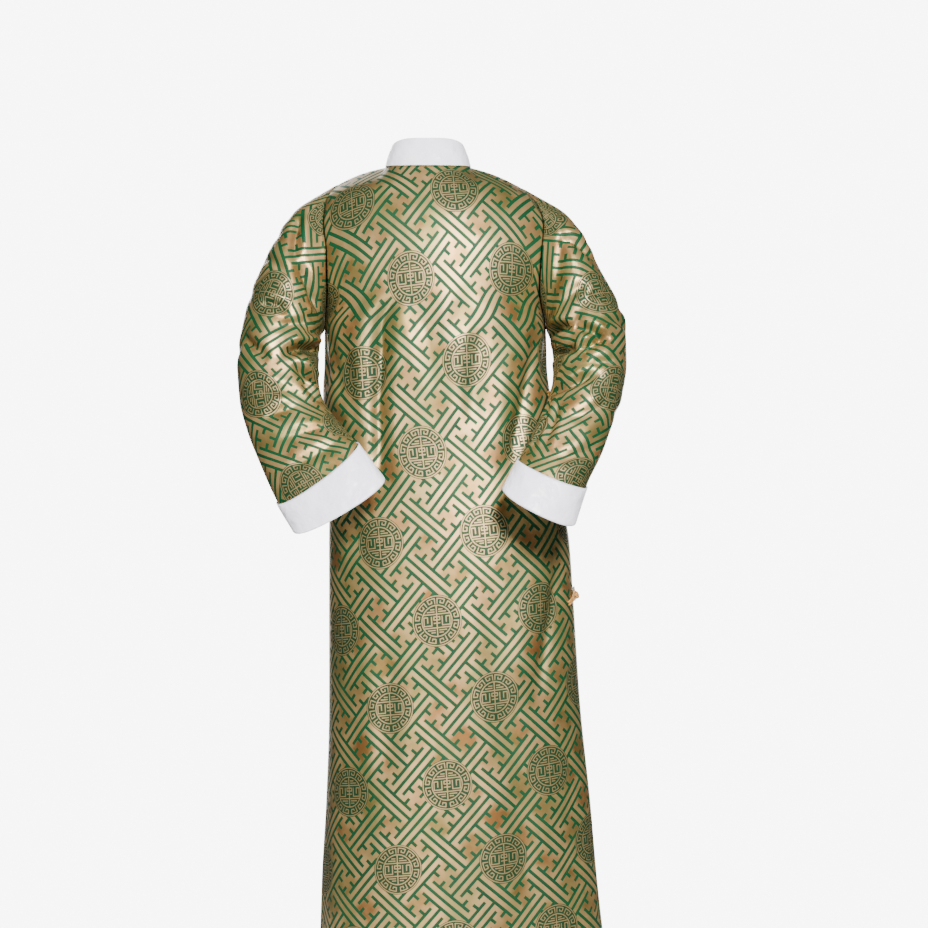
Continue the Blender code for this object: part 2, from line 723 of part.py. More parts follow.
def frog_point(frog, forward, aside, lift):
    """A place on a frog: forward along its arms, aside across them, lifted off."""
    arm, cross, run = frog_frame(frog)
    move = np.linalg.lstsq(run, arm * forward + cross * aside, rcond=None)[0]
    across, down = frog.across + move[0], frog.down + move[1]
    spot, normal = front_spot(across, down)
    if across > -1 and forward < -KNOT:
        lift -= max(lap_depth(np.array([across]), np.array([[down]]))[0, 0] - .001, 0)
    return spot + normal * lift


def cord_tube(name, path, material):
    curve = bpy.data.curves.new(name, "CURVE")
    curve.dimensions = "3D"
    curve.bevel_depth = CORD / 2
    curve.bevel_resolution = 1
    curve.use_fill_caps = True
    curve.twist_mode = "MINIMUM"
    line = curve.splines.new("POLY")
    line.points.add(len(path) - 1)
    for point, place in zip(line.points, path):
        point.co = (*place, 1.0)
    tube = bpy.data.objects.new(name, curve)
    bpy.data.collections[GOWN].objects.link(tube)
    mesh = bpy.data.meshes.new_from_object(tube.evaluated_get(bpy.context.evaluated_depsgraph_get()))
    bpy.data.objects.remove(tube, do_unlink=True)
    form = bmesh.new()
    form.from_mesh(mesh)
    bmesh.ops.remove_doubles(form, verts=form.verts, dist=1e-6)
    bmesh.ops.recalc_face_normals(form, faces=form.faces)
    form.to_mesh(mesh)
    form.free()
    mesh.materials.clear()
    mesh.materials.append(material)
    mesh.shade_smooth()
    piece = bpy.data.objects.new(name, mesh)
    bpy.data.collections[GOWN].objects.link(piece)
    return piece


def build_loop_half(frog, material):
    """A doubled cord whose end opens into the loop that holds the knot."""
    low, beside = CORD / 2 + CORD_CLEAR, CORD / 2 + CORD_APART
    path = [frog_point(frog, -FROG_ARM + k * .010, beside, low) for k in range(3)]
    for angle in range(140, -141, -40):
        turn = math.radians(angle)
        path.append(frog_point(frog, LOOP * math.cos(turn), LOOP * math.sin(turn), low))
    path += [frog_point(frog, -FROG_ARM + k * .010, -beside, low) for k in (2, 1, 0)]
    return cord_tube("frog_" + frog.name + "_loop", path, material)


def build_knot_half(frog, material):
    """A doubled cord that rises over the loop and ends in a ball knot."""
    low, beside = CORD / 2 + CORD_CLEAR, CORD / 2 + CORD_APART
    high = KNOT / 2 + KNOT_LIFT
    side_a = [(FROG_ARM, low), (.026, low), (.0165, low), (.0105, .0062), (.0062, .0073)]
    path = [frog_point(frog, f, beside, h) for f, h in side_a]
    path.append(frog_point(frog, .0005, .0012, high))
    path.append(frog_point(frog, .0005, -.0012, high))
    path += [frog_point(frog, f, -beside, h) for f, h in side_a[::-1]]
    tube = cord_tube("frog_" + frog.name + "_knot", path, material)
    form = bmesh.new()
    bmesh.ops.create_uvsphere(form, u_segments=10, v_segments=6, radius=KNOT / 2)
    mesh = bpy.data.meshes.new("ball")
    form.to_mesh(mesh)
    form.free()
    ball = bpy.data.objects.new("ball", mesh)
    ball.location = Vector(frog_point(frog, 0, 0, high))
    bpy.data.collections[GOWN].objects.link(ball)
    join = tube.modifiers.new("knot", "BOOLEAN")
    join.operation = "UNION"
    join.object = ball
    bpy.context.view_layer.update()
    solid = bpy.data.meshes.new_from_object(tube.evaluated_get(bpy.context.evaluated_depsgraph_get()))
    tube.modifiers.clear()
    tube.data = solid
    bpy.data.objects.remove(ball, do_unlink=True)
    return tube


def build():
    clear_scene()
    collection = bpy.data.collections.new(GOWN)
    bpy.context.scene.collection.children.link(collection)
    build_back(brocade())
    build_front_outer(brocade())
    build_front_inner(brocade())
    build_sleeve("sleeve_left", 1, brocade())
    build_sleeve("sleeve_right", -1, brocade())
    build_cuff("cuff_left", 1, white_satin())
    build_cuff("cuff_right", -1, white_satin())
    build_collar(white_satin())
    for frog in FROGS:
        build_loop_half(frog, gold_cord())
        build_knot_half(frog, gold_cord())


build()
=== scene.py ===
"""Chinese long gown (changshan) of green and gold brocade: the finish of every surface.

Metres, +Z up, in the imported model's own frame. The front faces -Y, the wearer's left is +X.
"""

import functools
import math
from collections import namedtuple

import bmesh
import bpy
import numpy as np
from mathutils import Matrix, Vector


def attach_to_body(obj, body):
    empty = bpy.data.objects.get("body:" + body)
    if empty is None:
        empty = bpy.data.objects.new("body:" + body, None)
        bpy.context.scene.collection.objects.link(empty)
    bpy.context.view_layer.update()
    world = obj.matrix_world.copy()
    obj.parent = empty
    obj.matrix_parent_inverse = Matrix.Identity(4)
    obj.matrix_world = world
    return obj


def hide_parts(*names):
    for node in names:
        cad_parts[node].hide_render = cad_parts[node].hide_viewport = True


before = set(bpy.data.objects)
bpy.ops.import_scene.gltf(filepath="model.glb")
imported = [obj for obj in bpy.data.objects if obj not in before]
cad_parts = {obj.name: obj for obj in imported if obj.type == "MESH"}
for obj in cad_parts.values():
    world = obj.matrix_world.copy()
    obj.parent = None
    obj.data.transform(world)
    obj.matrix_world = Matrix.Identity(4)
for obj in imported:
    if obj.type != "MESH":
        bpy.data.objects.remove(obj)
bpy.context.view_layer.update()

# Cloth wall of the solids, and depths below the neck seam
WALL = 0.002
UNDERARM = 0.278
SLIT_TOP = 0.745
HEM = 1.360

# Side slits: how far they gape at the hem, the cloth's run there and the band that is drawn back
SLIT_SPREAD = 0.022
SIDE_STRETCH = 0.33
EDGE_BAND = 0.1

# The cloth's run from a panel's middle to its side: in half widths, and in metres for the folds
SIDE_REACH = 1.25
FOLD_SPAN = 0.24

# Collar, and the neck's share of a panel's top edge
NECK_SHARE = 0.5
COLLAR_HEIGHT = 0.047
COLLAR_FALL = 0.011
COLLAR_LEAN = 0.34
COLLAR_FORWARD = 0.10
COLLAR_OPENING = 0.008
COLLAR_CORNER = 0.022
COLLAR_BULGE = 0.0012
COLLAR_SOFT = 0.0006

# How deep the under-front lies below the large front, in the open and beside the side seam
LAP = 0.0026
LAP_AT_SEAM = 0.0018
LAP_RAMP = 0.045
LAP_LEAD = 0.020
SEAM_LAP_WIDTH = 0.12
SEAM_LAP_TOP = 0.37
SEAM_LAP_RAMP = 0.06
NECK_LAP_SIDE = -0.3
NECK_LAP_RAMP = 0.05

# Where the under-front ends, and how far below the underarm the large front's rows are level
UNDER_FRONT_END = 0.80
UNDER_FRONT_EDGE = 0.3
LEVEL_AGAIN = 0.19

# Sleeves and cuffs
SLEEVE_END = 0.585
UNDER_SEAM = 0.5
SLEEVE_POWER = 0.92
CUFF_START = 0.525
CUFF_INSIDE = 0.560
CUFF_CLEAR = 0.0007
CUFF_BEND = 0.0035

# Frogs
CORD = 0.0040
CORD_LOW = CORD / 2 + 0.0006
CORD_BESIDE = CORD / 2 + 0.0002
STRAND_CUT = 0.24
LOOP = 0.0064
KNOT = 0.010
KNOT_LIFT = 0.0012
KNOT_TURNS = 3.0
KNOT_TILT = 62
KNOT_CORD = 0.0013
KNOT_SUNK = 0.0010
FROG_ARM = 0.036

# How finely the cloth is divided
BODY_COLUMNS = 141
BODY_ROWS = 231
SLEEVE_COLUMNS = 148
SLEEVE_LINES = 208
CUFF_LINES = 16
EASE_ROWS = 9

# The shell that is seen
CLOTH = 0.0012
SATIN = 0.0016
SEAM_SINK = 0.0011
SEAM_WIDTH = 0.0035
HEM_DEPTH = 0.024

# The brocade's repeat, its roundel's radius, the fret's bars and cells, and where the fret starts
REPEAT = 0.0865
ROUNDEL = 0.0405
LINE = 0.0051
CELL = REPEAT / math.sqrt(50)
FRET_START = (.12, .31)

# The roundel's drawing in millimetres: its rings, the band of keys and the half-widths of lines
MM = 0.001
OUTER_RING = 38.7
INNER_RING = 24.3
KEYS = 12
KEY_CELL = 16.2
KEY_FOOT = 26.2
KEY_LINE = 0.85
SIGN_LINE = 0.9

# Colours, in sRGB
GOLD_THREAD = "#ad8f5f"
# Tan of the gold floats: partly painted shade where the floats catch less light, partly tone that
# differs at random
TAN_AND_PAINTED_SHADE = "#7e5830"
# Olive in the gold: partly green warp showing through, partly painted shade where the gold floats catch
# no light
OLIVE_STREAK = "#626c38"
GREEN_DEEP = "#042b15"
GREEN_LIGHT = "#074324"
ROUNDEL_GROUND = "#122f17"
ROUNDEL_LINES = "#927c55"
WRONG_SIDE = "#4d5a30"
# Satin tones: the shade one is painted shade in the hollows of the puckers, the light one painted light
# on their crests
SATIN_SHADE = "#e0dbee"
SATIN_LIGHT = "#fcfaff"
# Cord tones: the shade one is painted shade in the hollows of the fibre relief, the light one painted
# light on its crests
CORD_SHADE = "#8b5c10"
CORD_LIGHT = "#c78c28"
FLOOR_PAINT = "#f4f3f1"

# How the brocade shines: the gold's metal, the green's roughness and how much less the gold's is
GOLD_METAL = 0.66
DULL = 0.52
DULL_LESS = 0.14
SPECULAR = 0.17

# Camera and floor
CAMERA_PLACE = (-0.0605, 3.5, -0.502)
LENS = 80.8
SENSOR = 36
FLOOR = -1.49
FLOOR_RADIUS = 0.9

# Lamps, and the pale room with its bright wall, whose edge is soft between two view directions
Lamp = namedtuple("Lamp", "name place width watts")
LAMPS = (
    Lamp("key", (-.6, 2.95, .75), .7, 300),
    Lamp("fill", (1.2, 3.4, -.9), 1.6, 74),
    Lamp("top", (.2, .6, 2.4), 1.6, 14),
    Lamp("front", (.6, -3.0, .6), 2.2, 118),
)
LAMP_AIM = (-.05, 0, -.6)
ROOM = 0.17
WALL_LIGHT = 8.0
WALL_EDGE = -0.92
WALL_FULL = -0.952

# Spare sleeve length: from how much on it lies in hollows only, and the share of a smooth spot
TUCK_FROM = 0.03
TUCK_LEAST = 0.0012


def table(kind, *rows):
    """The rows as tuples with names."""
    return tuple(kind(*row) for row in rows)


# Centre lines of the back and of the front down to the underarm
Centre = namedtuple("Centre", "down x back_y back_z front_y front_z turn")
CENTRES = table(
    Centre,
    (.05, -.002, .086, -.046, -.086, -.102, 62),
    (.1, -.006, .108, -.098, -.106, -.142, 60),
    (.155, -.01, .119, -.156, -.119, -.186, 60),
    (.215, -.012, .121, -.218, -.127, -.236, 72),
)

# Armhole edges of the left (1) and right (-1), from the shoulder point to the underarm
Edge = namedtuple("Edge", "x_back y_back z_back x_front y_front z_front")
SHOULDER = {1: (.152, -.004, -.031), -1: (-.158, -.004, -.037)}
ARMHOLES = {1: table(
    Edge,
    (.169, .034, -.062, .157, -.038, -.064),
    (.172, .06, -.102, .148, -.066, -.104),
    (.1665, .073, -.152, .142, -.078, -.152),
    (.166, .058, -.212, .15, -.064, -.212),
), -1: table(
    Edge,
    (-.182, .034, -.068, -.166, -.038, -.068),
    (-.192, .06, -.108, -.162, -.066, -.108),
    (-.188, .073, -.157, -.16, -.078, -.155),
    (-.185, .058, -.214, -.17, -.064, -.214),
)}

# Level sections from the underarm to the hem
Section = namedtuple("Section", "down x half_width back_y front_y")
SECTIONS = table(
    Section,
    (UNDERARM, -.0125, .186, .119, .129),
    (.34, -.014, .186, .117, .13),
    (.4, -.0155, .192, .114, .129),
    (.47, -.022, .194, .115, .129),
    (.56, -.03, .195, .122, .131),
    (.63, -.0355, .2015, .128, .133),
    (.73, -.039, .205, .133, .136),
    (.905, -.0445, .2105, .139, .142),
    (1.066, -.05, .221, .146, .15),
    (1.187, -.0515, .2295, .152, .156),
    (1.28, -.055, .236, .157, .161),
    (HEM, -.059, .243, .161, .166),
)
SECTION_POWER = 0.83
LEVELS = np.array([0.0] + [c.down for c in CENTRES] + [s.down for s in SECTIONS])

# Neck opening, at the foot of the collar
NECK_SIDE = (.0705, .000, -.003)
NECK_BACK = (.000, .058, -.008)
NECK_FRONT = (.000, -.066, -.070)
NECK_POWER = 0.92
FRONT_NECK_RISE = 1.35
SHOULDER_BULGE = 0.004

# Upper edge of the large front, from the neck to the right side seam
Closure = namedtuple("Closure", "across down")
CLOSURE = table(
    Closure,
    (0, 0),
    (-.12, .022),
    (-.3, .062),
    (-.5, .112),
    (-.7, .172),
    (-.86, .238),
    (-1.00, .296),
)

# Sections of the left (1) and right (-1) sleeve, each given by its outer and inner point,
# its depth and how far its back leads down the arm
Ring = namedtuple("Ring", "along outer_x outer_z inner_x inner_z y depth lead")
ARMS = {1: table(
    Ring,
    (.06, .219, -.078, .179, -.289, .014, .074, -.01),
    (.11, .25, -.126, .18, -.3, .029, .072, -.014),
    (.16, .2745, -.176, .18, -.313, .042, .069, -.016),
    (.21, .293, -.2265, .18, -.329, .054, .065, -.016),
    (.26, .305, -.28, .18, -.347, .066, .061, -.014),
    (.31, .311, -.338, .178, -.369, .081, .058, -.008),
    (.36, .306, -.397, .17, -.397, .098, .055, 0),
    (.41, .292, -.4466, .153, -.421, .118, .05, .006),
    (.46, .27, -.498, .133, -.444, .14, .045, .01),
    (.52, .24, -.5596, .1125, -.467, .166, .038, .014),
    (.59, .2066, -.6117, .0651, -.529, .192, .036, .014),
), -1: table(
    Ring,
    (.06, -.232, -.086, -.204, -.291, .014, .074, -.01),
    (.11, -.261, -.128, -.206, -.301, .029, .072, -.014),
    (.16, -.285, -.178, -.2075, -.314, .042, .069, -.016),
    (.21, -.3105, -.228, -.208, -.328, .055, .066, -.016),
    (.26, -.327, -.28, -.208, -.344, .069, .063, -.014),
    (.31, -.327, -.336, -.206, -.366, .085, .062, -.008),
    (.36, -.318, -.39, -.198, -.394, .104, .061, 0),
    (.41, -.302, -.434, -.186, -.424, .124, .058, .006),
    (.46, -.284, -.482, -.17, -.455, .145, .055, .008),
    (.52, -.2577, -.5338, -.15, -.491, .172, .051, .009),
    (.59, -.2343, -.5992, -.122, -.543, .199, .05, .012),
)}

# Folds of the back (1) and of the front (-1), each along a line from a start to an end
Fold = namedtuple("Fold", "across down to_across to_down width depth")
FOLDS = {1: table(
    Fold,
    (.33, .22, .38, .34, .016, .007),
    (.37, .29, .415, .54, .017, .0095),
    (-.74, .29, -.42, .51, .016, .007),
    (-.71, .66, -.47, .885, .019, .0065),
    (.93, .27, .8, .37, .014, .0045),
    (-.93, .27, -.8, .37, .014, .0045),
    # smaller ones
    (.35, .26, .405, .5, .007, .0035),
    (-.7, .32, -.44, .49, .007, .003),
    (-.69, .68, -.49, .86, .008, .0028),
    (.78, .29, .61, .41, .011, .0036),
    (.62, .3, .52, .46, .012, .0034),
    (-.3, .27, -.22, .44, .016, .0034),
    (.06, .22, .02, .38, .018, .003),
    (.3, .18, .05, .3, .016, .0024),
    (-.34, .17, -.12, .3, .016, .0026),
    (.74, .52, .5, .66, .016, .0034),
    (.38, .79, .4, 1.02, .022, .0036),
    (-.2, .7, -.34, .98, .024, .0028),
    (.62, .86, .56, 1.16, .024, .0026),
    (-.34, 1.02, -.37, 1.24, .022, .003),
    (-.7, .98, -.62, 1.24, .024, .0026),
    (.62, .04, .3, .12, .018, .002),
    (-.62, .04, -.3, .12, .018, .002),
), -1: table(
    Fold,
    (.52, .32, .46, .52, .017, .005),
    (-.5, .33, -.44, .5, .018, .005),
    (.9, .27, .74, .36, .014, .005),
    # smaller ones
    (.8, .3, .6, .42, .01, .0034),
    (.3, .2, .08, .34, .018, .0026),
    (.68, .54, .46, .7, .018, .003),
    (-.66, .6, -.46, .78, .018, .003),
    (.16, .62, .28, .96, .026, .0026),
    (-.22, .66, -.3, 1.02, .026, .0026),
    (.6, .92, .56, 1.2, .024, .0024),
)}

# Folds of the left (1) and right (-1) sleeve; round runs from 0 at the outer line over the back
Crease = namedtuple("Crease", "round along to_round to_along width depth")
CREASES = {1: table(
    Crease,
    (.268, .288, .48, .185, .012, .0095),
    (.31, .295, .47, .325, .011, .006),
    (.088, .055, .212, .1, .015, .005),
    (.212, .1, .37, .055, .015, .006),
    (.083, .277, .233, .297, .013, .005),
    (.74, .292, .53, .2, .012, .007),
    # smaller ones, the deep ones in the troughs of the largest
    (.262, .29, .495, .168, .0062, .012),
    (.31, .295, .5, .321, .0058, .0075),
    (.083, .277, .233, .297, .0065, .0055),
    (.088, .055, .212, .1, .0065, .005),
    (.212, .1, .38, .045, .0065, .0055),
    (.236, .246, .37, .15, .008, .0042),
    (.138, .222, .268, .189, .0072, .006),
    (.022, .154, .212, .136, .007, .0032),
    (.345, .318, .45, .373, .006, .0065),
    (.188, .43, .398, .432, .009, .0034),
    (.165, .394, .32, .373, .009, .0036),
    (.165, .48, .39, .477, .008, .0028),
    (.335, .21, .45, .08, .006, .0052),
    (.31, .16, .43, .07, .006, .0036),
    (.13, .332, .3, .35, .0075, .0036),
    (-.06, .118, .1, .106, .009, .0016),
    (-.06, .205, .09, .214, .01, .0018),
    (-.05, .3, .09, .29, .01, .002),
    (.86, .23, .62, .25, .008, .004),
    (.86, .33, .64, .306, .008, .004),
    (.84, .41, .6, .38, .009, .0034),
), -1: table(
    Crease,
    (.46, .09, .29, .211, .012, .007),
    (.29, .211, .21, .276, .012, .006),
    (.47, .19, .3, .255, .013, .009),
    (.305, .273, .173, .271, .011, .0055),
    (.47, .35, .22, .324, .012, .006),
    (.195, .06, .062, .153, .014, .0045),
    (.74, .292, .53, .2, .012, .007),
    # smaller ones, the deep ones in the troughs of the largest
    (.48, .07, .29, .211, .0062, .0115),
    (.295, .21, .205, .276, .0062, .0075),
    (.305, .273, .173, .271, .0062, .0065),
    (.48, .35, .22, .324, .0062, .007),
    (.195, .05, .062, .153, .007, .005),
    (.48, .215, .3, .268, .0062, .011),
    (.44, .362, .4, .489, .0062, .0065),
    (.37, .366, .345, .477, .0065, .005),
    (.205, .24, .01, .265, .008, .0044),
    (.268, .49, .095, .438, .009, .0034),
    (.283, .408, .14, .369, .009, .0036),
    (.13, .06, .3, .07, .008, .0036),
    (.31, .13, .18, .17, .009, .0036),
    (.08, .205, .2, .19, .008, .0034),
    (.26, .306, .15, .312, .007, .0034),
    (-.05, .115, .1, .125, .009, .0016),
    (-.06, .225, .08, .236, .01, .002),
    (-.05, .4, .08, .385, .01, .0016),
    (.86, .23, .62, .25, .008, .004),
    (.86, .33, .64, .306, .008, .004),
    (.84, .41, .6, .38, .009, .0034),
)}
CREASE_STEPS = 9

# The lips beside the trough of a fold or crease, in its own depth and width
LIP = 0.55
LOWER_LIP = 0.3
LIP_WIDTH = 1.3
FOLD_LIP_AWAY = 1.9
CREASE_LIP_AWAY = 2.1

# Soft flutes of the skirt
FLUTE_START = 0.55
FLUTE_DEPTH = 0.0055
FLUTES = 7

# Frogs: where each one crosses the opening, and the way its arms run
Frog = namedtuple("Frog", "name across down arm_across arm_down")
FROGS = table(
    Frog,
    ("neck", -.16, .031, .76, .65),
    ("chest", -.55, .127, .78, .62),
    ("underarm", -1.03, .385, 1.0, 0),
    ("waist", -1.07, .52, 1.0, -.12),
    ("hip", -1.1, .722, 1.0, -.3),
)

# The record for the flat cut of what shows of a piece: its slot, width, length and area, and how it is
# held; no piece's cut is given here
Cut = namedtuple("Cut", "slot width length area held")

# How each piece lies in the weave: where a roundel's middle falls, how much the cloth is
# pulled wide and long there, and how its columns lean and its rows tilt and bow. A turned piece
# has the weave's columns round it instead of along it.
Grain = namedtuple("Grain", "u v wide long lean tilt bow turned", defaults=(0, 0, 0, False))
GRAINS = {
    "back": Grain(.0432, .0504, .998, .874, -.0288, .1244, .0644),
    "front_outer": Grain(.043, .150, 1.02, .98),
    "front_inner": Grain(-.020, .120, 1.02, .98),
    "sleeve_left": Grain(-.0295, .3052, 1.08, 1.11, turned=True),
    "sleeve_right": Grain(.0403, .3028, 1.105, 1.05, turned=True),
}


def unit(vectors):
    """The same directions at length 1."""
    return vectors / np.maximum(np.linalg.norm(vectors, axis=-1, keepdims=True), 1e-12)


def smooth(values):
    """A soft step from 0 to 1."""
    values = np.clip(values, 0, 1)
    return values * values * (3 - 2 * values)


def run_length(points):
    """Length of a polyline from its start to each of its points."""
    return np.concatenate([[0], np.cumsum(np.linalg.norm(np.diff(points, axis=0), axis=1))])


def spaced(points, shares):
    """Points at the given shares of a polyline's length."""
    run = run_length(points)
    run /= run[-1]
    return np.stack([np.interp(shares, run, points[:, k]) for k in range(3)], axis=-1)


def quarter_curve(centre, edge, turn, power):
    """Half of one level line, from its centre to the armhole or side seam."""
    angle = np.linspace(0, 1, 160) * math.radians(turn)
    last = math.radians(turn)
    out = (np.sin(angle) / math.sin(last)) ** power
    fall = 1 - np.maximum(np.cos(angle), 0) ** power
    fall /= 1 - max(math.cos(last), 0) ** power
    centre, edge = np.array(centre), np.array(edge)
    return np.stack([
        centre[0] + (edge[0] - centre[0]) * out,
        centre[1] + (edge[1] - centre[1]) * fall,
        centre[2] + (edge[2] - centre[2]) * out ** 2,
    ], axis=-1)


def top_line(half, side, shares):
    """The neck opening and then the shoulder seam."""
    low = NECK_BACK if half > 0 else NECK_FRONT
    angle = np.linspace(0, math.pi / 2, 80)
    rise = 1 - np.cos(angle) ** (1.0 if half > 0 else FRONT_NECK_RISE)
    neck = np.stack([
        side * NECK_SIDE[0] * np.sin(angle) ** NECK_POWER,
        low[1] * np.cos(angle) ** NECK_POWER,
        low[2] + (NECK_SIDE[2] - low[2]) * rise,
    ], axis=-1)
    along = np.linspace(0, 1, 40)[:, None]
    start = np.array(NECK_SIDE) * (side, 1, 1)
    shoulder = start + (np.array(SHOULDER[side]) - start) * along
    shoulder[:, 2] += SHOULDER_BULGE * np.sin(along[:, 0] * math.pi)
    on_neck = spaced(neck, shares / NECK_SHARE)
    on_shoulder = spaced(shoulder, (shares - NECK_SHARE) / (1 - NECK_SHARE))
    return np.where((shares < NECK_SHARE)[:, None], on_neck, on_shoulder)


def level_lines(half, side, shares):
    """Every level line of one quarter of the body, at the given shares."""
    lines = [top_line(half, side, shares)]
    for centre, edge in zip(CENTRES, ARMHOLES[side]):
        if half > 0:
            middle = (centre.x, centre.back_y, centre.back_z)
            end = (edge.x_back, edge.y_back, edge.z_back)
        else:
            middle = (centre.x, centre.front_y, centre.front_z)
            end = (edge.x_front, edge.y_front, edge.z_front)
        lines.append(spaced(quarter_curve(middle, end, centre.turn, 1.0), shares))
    for row in SECTIONS:
        middle = (row.x, row.back_y if half > 0 else -row.front_y, -row.down)
        end = (row.x + side * row.half_width, 0, -row.down)
        lines.append(spaced(quarter_curve(middle, end, 90, SECTION_POWER), shares))
    return np.array(lines)


def between(knots, lines, where):
    """Smooth curve through the lines that never overshoots them, read at each place."""
    gaps = np.diff(knots)
    slopes = np.diff(lines, axis=0) / gaps[:, None, None]
    tangents = np.empty_like(lines)
    tangents[0], tangents[-1] = slopes[0], slopes[-1]
    weight = ((gaps[:-1] + 2 * gaps[1:]) / (3 * (gaps[:-1] + gaps[1:])))[:, None, None]
    before, after = slopes[:-1], slopes[1:]
    same = before * after > 0
    spread = np.where(same, (1 - weight) * before + weight * after, 1)
    tangents[1:-1] = np.where(same, before * after / spread, 0)
    cell = np.clip(np.searchsorted(knots, where, side="right") - 1, 0, len(knots) - 2)
    column = np.broadcast_to(np.arange(where.shape[1]), where.shape)
    gap = gaps[cell][..., None]
    f = (where[..., None] - knots[cell][..., None]) / gap
    a, b = lines[cell, column], lines[cell + 1, column]
    ta, tb = tangents[cell, column] * gap, tangents[cell + 1, column] * gap
    return (a * (2 * f ** 3 - 3 * f ** 2 + 1) + ta * (f ** 3 - 2 * f ** 2 + f)
            + b * (3 * f ** 2 - 2 * f ** 3) + tb * (f ** 3 - f ** 2))


def body_points(half, across, down):
    """Outer face of the body. across runs from -1 at the right side to 1 at the left,
    and past a side it goes on round to the other half."""
    wrapped = np.abs(across) > 1
    halves = np.where(wrapped, -half, half)
    inside = np.where(wrapped, np.sign(across) * (2 - np.abs(across)), across)
    points = np.empty(down.shape + (3,))
    for h in (-1, 1):
        for side in (-1, 1):
            mine = (halves == h) & ((inside >= 0) if side > 0 else (inside < 0))
            if mine.any():
                lines = level_lines(h, side, np.abs(inside[mine]))
                points[:, mine] = between(LEVELS, lines, down[:, mine])
    return points


def raw_normals(half, across, down):
    """Outward directions of the body, across the side seams but not the armholes."""
    step = .006
    ahead, behind = across + step, across - step
    wide = body_points(half, ahead, down) - body_points(half, behind, down)
    held = (body_points(half, np.clip(ahead, -1, 1), down)
            - body_points(half, np.clip(behind, -1, 1), down))
    sideways = np.where((down >= UNDERARM - 1e-6)[..., None], wide, held)
    fall = (body_points(half, across, np.minimum(down + .003, HEM))
            - body_points(half, across, np.maximum(down - .003, 0)))
    return unit(np.cross(sideways, fall) * half)


def half_reach(down):
    """Distance over the cloth from a panel's middle to its side."""
    reaches = [SIDE_REACH * s.half_width for s in SECTIONS]
    return np.interp(down, [s.down for s in SECTIONS], reaches)


def fold_height(across, down, half):
    """How far the folds and flutes stand out of the plain surface."""
    height = np.zeros_like(down)
    width = half_reach(down)
    for fold in FOLDS[half]:
        run_x = (fold.to_across - fold.across) * FOLD_SPAN
        run_y = fold.to_down - fold.down
        length = math.hypot(run_x, run_y)
        dx = (across - fold.across) * width
        dy = down - fold.down
        share = (dx * run_x + dy * run_y) / length ** 2
        off = (dx * run_y - dy * run_x) / length
        ends = smooth((share + .15) / .4) * smooth((1.15 - share) / .4)
        trough = np.exp(-(off / fold.width) ** 2)
        lip = np.exp(-((off - FOLD_LIP_AWAY * fold.width) / (LIP_WIDTH * fold.width)) ** 2)
        height += fold.depth * ends * (LIP * lip - trough)
    ramp = smooth((down - FLUTE_START) / (HEM - FLUTE_START))
    turn = across * half * math.pi / 2
    wave = np.sin(FLUTES * turn / 2 + .9 * half) + .5 * np.sin(FLUTES * turn * .83 + 2.1)
    edge = smooth((1 - np.abs(across)) / .16)
    return height * smooth((down - .2) / .06) + FLUTE_DEPTH * ramp * wave * edge


def arm_loop(arm, rounds):
    """The armhole as the sleeve meets it, from the shoulder point round the back."""
    share = np.where(rounds <= .5, rounds * 2, 2 - rounds * 2)
    down = (share * UNDERARM)[None, :]
    sides = np.full(rounds.shape, float(arm))
    back = body_points(1, sides, down)[0]
    front = body_points(-1, sides, down)[0]
    return np.where((rounds <= .5)[:, None], back, front)


def arm_lines(arm, rounds):
    """The armhole and then each sleeve section, at the given shares round it."""
    angle = rounds * 2 * math.pi
    lines = [arm_loop(arm, rounds)]
    rings = ARMS[arm]
    for k, ring in enumerate(rings):
        before, after = rings[max(k - 1, 0)], rings[min(k + 1, len(rings) - 1)]
        run = np.array([after.outer_x + after.inner_x - before.outer_x - before.inner_x, 0,
                        after.outer_z + after.inner_z - before.outer_z - before.inner_z])
        run /= np.linalg.norm(run)
        outer = np.array([ring.outer_x, ring.y, ring.outer_z])
        inner = np.array([ring.inner_x, ring.y, ring.inner_z])
        centre, reach = (outer + inner) / 2, (outer - inner) / 2
        back = np.array([0, ring.depth, 0]) + run * ring.lead
        cosine = np.sign(np.cos(angle)) * np.abs(np.cos(angle)) ** SLEEVE_POWER
        sine = np.sign(np.sin(angle)) * np.abs(np.sin(angle)) ** SLEEVE_POWER
        lines.append(centre + reach * cosine[:, None] + back * sine[:, None])
    return np.array(lines)


def arm_points(arm, rounds, along):
    """Outer face of a sleeve, without its folds."""
    knots = np.array([0.0] + [ring.along for ring in ARMS[arm]])
    return between(knots, arm_lines(arm, rounds % 1.0), along)


def arm_normals(arm, rounds, along):
    """Outward directions of a sleeve."""
    last = ARMS[arm][-1].along
    around = arm_points(arm, rounds + .01, along) - arm_points(arm, rounds - .01, along)
    run = (arm_points(arm, rounds, np.minimum(along + .004, last))
           - arm_points(arm, rounds, np.maximum(along - .004, 0)))
    return unit(np.cross(around, run) * -arm)


def line_offset(points, line):
    """How far along a line each point lies, from 0 to 1, and how far off the line."""
    run = np.diff(line, axis=0)
    reach = points[..., None, :] - line[:-1]
    share = np.clip((reach * run).sum(axis=-1) / (run ** 2).sum(axis=-1), 0, 1)
    gaps = np.linalg.norm(reach - run * share[..., None], axis=-1)
    nearest = gaps.argmin(axis=-1)[..., None]
    place = (nearest + np.take_along_axis(share, nearest, axis=-1)) / len(run)
    return place[..., 0], np.take_along_axis(gaps, nearest, axis=-1)[..., 0]


